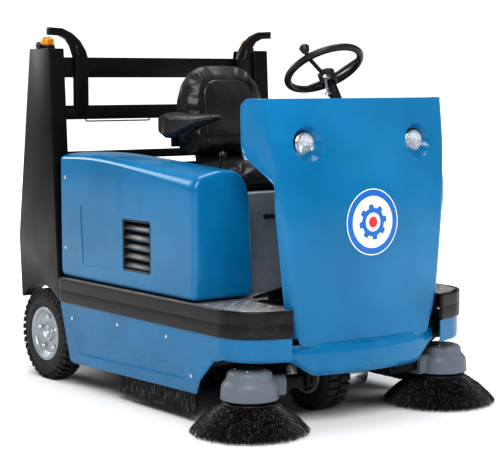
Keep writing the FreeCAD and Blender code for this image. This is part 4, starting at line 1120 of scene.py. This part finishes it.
# shrinks a piece towards an anchor, a share along each axis
def shrink(piece, anchor, shares):
    for vertex in piece.data.vertices:
        vertex.co = [a + (c - a) * s for a, c, s in zip(anchor, vertex.co, shares)]
    return piece


# sinks a sewn channel along a route seen along one axis, on the side facing it
def channel(piece, route, axis, facingSign, depth, width):
    mesh = piece.data
    count = len(mesh.vertices)
    spots, normals = np.empty(count * 3), np.empty(count * 3)
    mesh.vertices.foreach_get("co", spots)
    mesh.vertices.foreach_get("normal", normals)
    spots, normals = spots.reshape(-1, 3), normals.reshape(-1, 3)
    keep = [k for k in range(3) if k != axis]
    flat = spots[:, keep]
    near = np.full(count, 1e9)
    for a, b in zip(route, route[1:]):
        a, b = np.array(a), np.array(b)
        t = np.clip(((flat - a) @ (b - a)) / max((b - a) @ (b - a), 1e-12), 0, 1)
        near = np.minimum(near, np.linalg.norm(flat - a - t[:, None] * (b - a), axis=1))
    share = np.clip(facingSign * normals[:, axis], 0, 1)
    sink = depth * np.exp(-(near / width) ** 2) * np.minimum(1, share * 1.6)
    mesh.vertices.foreach_set("co", (spots - normals * sink[:, None]).ravel())
    mesh.update()
    return piece


def spaced(route, step):
    result, left = [], 0.0
    for a, b in zip(route, route[1:]):
        a, b = Vector(a), Vector(b)
        long = (b - a).length
        while left < long:
            result.append((a.lerp(b, left / long), (b - a).normalized()))
            left += step
        left -= long
    return result


def surfaceTree(piece):
    mesh = piece.data
    return BVHTree.FromPolygons([v.co for v in mesh.vertices], [p.vertices for p in mesh.polygons])


# stitches in two rows beside a channel, laid on the pad's own surface
def stitches(name, piece, route, axis, facingSign, body, offset=0.0062):
    tree = surfaceTree(piece)
    ray = placed((0, 0), axis, -facingSign)
    spots, turns = [], []
    for side in (-1, 1):
        for spot, ahead in spaced(route, seat["stitch"]):
            place = Vector(spot) + Vector((-ahead.y, ahead.x)) * offset * side
            hit, normal = tree.ray_cast(placed(place, axis, 3.0 * facingSign), ray)[:2]
            if hit is None or abs(normal[axis]) < 0.35:
                continue
            way = placed(ahead, axis, 0)
            way = way - normal * way.dot(normal)
            spots.append(hit + normal * 0.0002)
            turns.append(posed(way, normal))
    half = seat["stitchLong"] / 2
    shape = bar("stitch", [(-0.0004, 0, -half), (0.0004, 0, -half * 0.6), (0.0004, 0, half * 0.6),
                           (-0.0004, 0, half)], [0.0003, 0.0006, 0.0006, 0.0003], 6)
    declare(repeated(name, shape, spots, turns, "plastic"), body, "plastic")


# upright arch from the foot up one side, over, and down the other
def arch(half, low, high, radius, steps=10):
    route = [(-half, low)]
    for k in range(steps + 1):
        turn = math.pi - (math.pi / 2) * k / steps
        route.append((-half + radius + radius * math.cos(turn), high - radius + radius * math.sin(turn)))
    return route + [(-x, z) for x, z in route[::-1]]


def piping(name, piece, route, axis, facingSign, body, radius=0.0026):
    tree = surfaceTree(piece)
    ray = placed((0, 0), axis, -facingSign)
    path = []
    for spot in [spot for spot, _ in spaced(route, 0.008)]:
        hit, normal = tree.ray_cast(placed(spot, axis, 3.0 * facingSign), ray)[:2]
        if hit is not None:
            path.append(hit + normal * 0.0006)
    declare(bar(name, path, radius, 8), body, "vinyl")


def makeSeat():
    cushion = shrink(refined("seat_cushion", 0.0), (0, -0.093, 0.891), (0.945, 0.945, 0.86))
    stuff(cushion, lambda p: p[2] < 0.899, seat["voxel"], seat["cap"], seat["pressure"])
    panel = [(x, -y - 0.19) for x, y in arch(0.142, -0.27, 0.075, 0.06)]
    channel(cushion, panel, 2, 1, seat["groove"], seat["grooveWide"])
    for y in (-0.165, -0.065):
        channel(cushion, [(-0.138, y), (0.138, y)], 2, 1, seat["groove"] * 0.6, seat["grooveWide"])
    declare(cushion, "seat", "vinyl", ["seat_cushion"], None)
    cushion.name = "seatCushionPad"
    stitches("cushionStitches", cushion, panel, 2, 1, "seat")
    piping("cushionPiping", cushion, panel, 2, 1, "seat")
    back = shrink(refined("seat_back", 0.0), (0, 0.184, 1.185), (0.945, 0.86, 0.965))
    stuff(back, lambda p: p[1] > 0.168, seat["voxel"], seat["cap"], seat["pressure"])
    panel = arch(0.128, 1.03, 1.318, 0.075)
    channel(back, panel, 1, -1, seat["groove"], seat["grooveWide"])
    channel(back, [(-0.12, 1.07), (0.12, 1.07)], 1, -1, seat["groove"] * 0.7, seat["grooveWide"])
    declare(back, "seat", "vinyl", ["seat_back"], None)
    back.name = "seatBackPad"
    stitches("backStitches", back, panel, 1, -1, "seat")
    piping("backPiping", back, panel, 1, -1, "seat")
    for word, flip in (("right", -1), ("left", 1)):
        rest = shrink(refined(word + "_armrest", 0.0), (flip * 0.267, 0.0, 1.13), (0.86, 0.975, 0.9))
        stuff(rest, lambda p: p[1] > 0.165, 0.0045, 0.008, 3.0)
        declare(rest, word + "_armrest", "vinyl", [word + "_armrest"], None)
        rest.name = word + "ArmrestPad"
    refine("seat_pan", "plastic", 0.004)


makeSeat()
print("seat made")


# ---------- deck, pedal, brushes and small fittings ----------

fittings = {"treadStep": 0.034, "treadLong": 0.024, "brushRows": 16, "brushTufts": 74, "flapStep": 0.0052,
            "seed": 5}


# raised diagonal bars in a basket pattern on the open parts of the deck
def makeTread():
    refine("floor_deck", "tread", 0.0008)
    spots, turns = [], []
    step = fittings["treadStep"]
    edge = [Vector(p) for p in sideRoute(0.024, [0.5 - 0.05 * k for k in range(30)])]
    for i in range(-17, 18):
        for j in range(0, 15):
            x, y = i * step, -0.795 + j * step
            wide = max((-p.x for p in edge if abs(p.y - y) < 0.03), default=0.30)
            inLegs = abs(x) < 0.268 and y < -0.38 and math.hypot(x, y + 0.51) > 0.045 and y > -0.745
            inFront = 0.268 <= abs(x) < wide - 0.012 and y < -0.50 and not (abs(x) > 0.35 and y < -0.74)
            onPedal = -0.36 < x < -0.24 and -0.76 < y < -0.50
            if (inLegs or inFront) and not onPedal:
                spots.append((x, y, 0.4672))
                turns.append((0, 0, math.pi / 4 if (i + j) % 2 else -math.pi / 4))
    shape = lugShape(fittings["treadLong"], 0.0045, 0.0013)
    declare(repeated("deckTreadBars", shape, spots, turns, "tread"), "chassis", "tread", (), 30)


def makePedal():
    pad = refine("drive_pedal", "black", 0.0012)
    refine("pedal_base", "black", 0.0012)
    tree = surfaceTree(pad)
    spots, turns = [], []
    for k in range(9):
        hit, normal = tree.ray_cast(Vector((-0.300, -0.575 - 0.016 * k, 0.9)), Vector((0, 0, -1)))[:2]
        if hit is not None and normal.z > 0.8:
            spots.append(hit)
            turns.append(posed(normal, (1, 0, 0)))
    if spots:
        ribs = repeated("pedalRibs", lugShape(0.070, 0.006, 0.003), spots, turns, "rubber")
        declare(ribs, "drive_pedal", "rubber", (), 30)


def makeMainBrush():
    core = lathe("mainBrushCore", [(0.0, -0.362), (0.094, -0.362), (0.098, -0.358), (0.098, 0.358),
                                   (0.094, 0.362), (0.0, 0.362)], (0, 0.170, 0.152), (1, 0, 0), 64)
    declare(core, "main_brush", "plastic", ["main_brush"])
    chance = np.random.default_rng(fittings["seed"])
    spots, turns, sizes = [], [], []
    rows, tufts = fittings["brushRows"], fittings["brushTufts"]
    for row in range(rows):
        for k in range(tufts):
            along = -0.352 + 0.704 * k / (tufts - 1)
            turn = 2 * math.pi * row / rows + 1.6 * along / 0.352 * (1 if along > 0 else -1)
            out = Vector((chance.normal(0, 0.03), math.cos(turn), math.sin(turn)))
            spots.append((along, 0.170 + 0.096 * math.cos(turn), 0.152 + 0.096 * math.sin(turn)))
            turns.append(posed(out, (1, 0, 0)))
            sizes.append((1, 1, 0.0515 + 0.002 * chance.random()))
    shape = pushed("tuft", [(-0.0034, -0.0030), (0.0034, -0.0030), (0.0034, 0.0030), (-0.0034, 0.0030)], "Z",
                   0.0, 1.0)
    for vertex in shape.data.vertices:
        if vertex.co.z > 0.5:
            vertex.co.x *= 1.5
            vertex.co.y *= 1.25
    declare(repeated("mainBrushTufts", shape, spots, turns, "bristle", sizes), "main_brush", "bristle", (),
            30)


# flap strips as close rows of hanging strands under their holders
def makeFlaps():
    node = frame["nodes"]["brush_flaps"]
    work = bmesh.new()
    work.from_mesh(node.data)
    bmesh.ops.remove_doubles(work, verts=work.verts, dist=0.00002)
    chance = np.random.default_rng(fittings["seed"] + 1)
    holders, spots, turns, sizes = [], [], [], []
    left = set(work.verts)
    while left:
        seeds, group = [left.pop()], []
        while seeds:
            vertex = seeds.pop()
            group.append(vertex.co.copy())
            for edge in vertex.link_edges:
                other = edge.other_vert(vertex)
                if other in left:
                    left.remove(other)
                    seeds.append(other)
        low = Vector([min(p[k] for p in group) for k in range(3)])
        high = Vector([max(p[k] for p in group) for k in range(3)])
        holders.append(box("holder", (low.x, low.y, high.z - 0.035), tuple(high), 0.001))
        axis = 0 if high.x - low.x > high.y - low.y else 1
        count = int((high[axis] - low[axis]) / fittings["flapStep"])
        for k in range(count):
            for row in (0.3, 0.7):
                spot = low.lerp(high, row)
                spot[axis] = low[axis] + (k + 0.5) * fittings["flapStep"]
                spot.z = high.z - 0.034
                spots.append(spot)
                turns.append(posed((chance.normal(0, 0.006), chance.normal(0, 0.006), -1), (1, 0, 0)))
                sizes.append((1, 1, high.z - 0.034 - low.z - 0.001 - 0.003 * chance.random()))
    work.free()
    declare(join("flapHolders", holders), "chassis", "plated", ["brush_flaps"], 30)
    strand = pushed("strand", [(-0.0019, -0.0012), (0.0019, -0.0012), (0.0019, 0.0012), (-0.0019, 0.0012)],
                    "Z", 0.0, 1.0)
    declare(repeated("flapStrands", strand, spots, turns, "bristle", sizes), "chassis", "bristle", (), 30)


def makeBeacons():
    feet, lenses, caps = [], [], []
    for flip in (-1, 1):
        spot = (flip * 0.537, 0.690, 1.445)
        feet.append(lathe("foot", soften([(0.0, 0.0), (0.033, 0.0), (0.033, 0.010), (0.031, 0.016),
                                          (0.0, 0.016)], 0.002), spot))
        dome = [(0.0, 0.0165), (0.0285, 0.0165), (0.030, 0.018)]
        dome += [(0.030 - 0.0008 * (k % 2), 0.020 + 0.002 * k) for k in range(11)]
        dome += [(0.0285, 0.0435), (0.026, 0.0455), (0.0, 0.0457)]
        lenses.append(lathe("lens", dome, spot, steps=72))
        caps.append(lathe("cap", soften([(0.0, 0.0458), (0.020, 0.0458), (0.019, 0.0490), (0.0, 0.0500)],
                                        0.001), spot, steps=48))
    caps.append(lathe("knob", soften([(0.0, 0.0), (0.007, 0.0), (0.007, 0.006), (0.016, 0.007),
                                      (0.018, 0.012), (0.016, 0.018), (0.0, 0.019)], 0.0015),
                      (-0.568, 0.690, 1.458), (-1, 0, 0), 40))
    declare(join("beaconFeet", feet), "chassis", "plastic", ["beacon_bases"], 30)
    declare(join("beaconDomes", lenses), "chassis", "amber", ["beacon_lenses"], 30)
    declare(join("beaconCaps", caps), "chassis", "plastic", (), 30)


# pressed ribs and hinge bolts on the bin's rear
def makeHopper():
    refine("hopper_bin", "black", 0.003)
    refine("hopper_carriage", "black", 0.0015)
    ribs = [box("rib", (x - 0.018, 0.9395, 0.26), (x + 0.018, 0.9455, 0.84), 0.0035, 3)
            for x in (-0.26, 0.0, 0.26)]
    declare(join("hopperRibs", ribs), "hopper_bin", "black", (), 30)
    spots = [(x, 0.9405, z) for x in (-0.36, -0.13, 0.13, 0.36) for z in (0.24, 0.55, 0.86)]
    shape = lathe("bolt", soften([(0.0, 0.0045), (0.0068, 0.0045), (0.0075, 0.0035), (0.0075, -0.001),
                                  (0.0, -0.001)], 0.0006), steps=6)
    bolts = repeated("hopperBolts", shape, spots, [posed((0, 1, 0), (1, 0, 0))] * len(spots), "plated")
    declare(bolts, "hopper_bin", "plated", (), 30)


makeTread()
makePedal()
makeMainBrush()
makeFlaps()
makeBeacons()
makeHopper()
print("fittings made")


# ---------- nodes kept in their own shape, with rounded edges ----------

plainNodes = {
    "chassis_frame": ("black", 0.0015), "dash_panel": ("plastic", 0.004), "column_pivot": ("black", 0.002),
    "right_mast": ("black", 0.003), "left_mast": ("black", 0.003), "cross_bars": ("black", 0.002),
    "hose_guides": ("black", 0.0015), "mast_cable": ("rubber", 0.0), "frame_brackets": ("black", 0.0015),
    "brush_tunnel": ("black", 0.001), "seat_base": ("zinc", 0.0012), "battery_pack": ("black", 0.002),
    "panel_screws": ("plated", 0.0006), "steering_column": ("black", 0.003),
    "column_lever": ("plated", 0.002), "steering_wheel": ("plastic", 0.002),
    "spinner_knob": ("plastic", 0.003), "horn_button": ("plastic", 0.002), "front_fork": ("black", 0.003),
    "drive_motor": ("plated", 0.002), "brush_arms": ("black", 0.002), "seat_latch": ("plastic", 0.001),
    "control_lever": ("plastic", 0.001),
}
for node, (finish, edge) in plainNodes.items():
    refine(node, finish, edge)
print("plain nodes made")


# ---------- floor, lights and camera ----------

studio = {"floor": 60.0, "paper": (0.86, 0.86, 0.87), "fade": (2.2, 5.5), "glow": 0.28, "white": 1.0,
          "aim": (0, 0, 0.7), "eye": (-3.9060, -5.3420, 1.3208), "look": (0.59167, 0.79994, -0.10013),
          "lens": 113.02, "sensor": 36.0, "clip": 200,
          "lamps": [("keyLight", (-3.2, -4.2, 4.6), 3.2, 300), ("fillLight", (3.6, -3.4, 2.6), 3.0, 90),
                    ("topLight", (0.3, 0.6, 5.2), 3.6, 190), ("rearLight", (-2.2, 4.6, 3.2), 2.6, 110)]}


def makeStage():
    half = studio["floor"] / 2
    floor = meshPiece("studioFloor", [(-half, -half, 0), (half, -half, 0), (half, half, 0), (-half, half, 0)],
                      [(0, 1, 2, 3)])
    paper = Shader("studioFloorPaper", 0.7)
    away = (paper.axis("X") * paper.axis("X") + paper.axis("Y") * paper.axis("Y")).power(0.5)
    glow = paper.ramp(away, *studio["fade"])
    paper.main.inputs["Base Color"].default_value = (*studio["paper"], 1)
    paper.main.inputs["Emission Strength"].default_value = 1
    shade = paper.mix(glow, (0, 0, 0), (1, 1, 1))
    paper.tree.links.new(shade.socket, paper.main.inputs["Emission Color"])
    floor.data.materials.append(paper.material)
    for name, spot, width, power in studio["lamps"]:
        light = bpy.data.lights.new(name, "AREA")
        light.shape, light.size, light.energy = "DISK", width, power
        holder = bpy.data.objects.new(name, light)
        holder.location = spot
        holder.rotation_euler = (Vector(studio["aim"]) - Vector(spot)).to_track_quat("-Z", "Y").to_euler()
        holder.visible_glossy = name != "fillLight"
        bpy.context.scene.collection.objects.link(holder)
    world = bpy.data.worlds.new("studioWorld")
    world.use_nodes = True
    backdrop = world.node_tree.nodes["Background"]
    backdrop.inputs["Color"].default_value = (1, 1, 1, 1)
    nodes, links = world.node_tree.nodes, world.node_tree.links
    # white behind the machine, dim in its reflections
    ray = nodes.new("ShaderNodeLightPath")
    level = nodes.new("ShaderNodeMix")
    level.inputs[2].default_value, level.inputs[3].default_value = studio["glow"], studio["white"]
    links.new(ray.outputs["Is Camera Ray"], level.inputs[0])
    links.new(level.outputs[0], backdrop.inputs["Strength"])
    bpy.context.scene.world = world
    bpy.context.scene.view_settings.view_transform = "Standard"
    bpy.context.scene.view_settings.look = "Medium High Contrast"


def makeCamera():
    lens = bpy.data.cameras.new("mainCamera")
    lens.lens, lens.sensor_width, lens.sensor_fit = studio["lens"], studio["sensor"], "HORIZONTAL"
    lens.clip_end = studio["clip"]
    camera = bpy.data.objects.new("mainCamera", lens)
    camera.location = studio["eye"]
    camera.rotation_euler = Vector(studio["look"]).to_track_quat("-Z", "Y").to_euler()
    bpy.context.scene.collection.objects.link(camera)
    bpy.context.scene.camera = camera


makeStage()
makeCamera()
print("stage made")
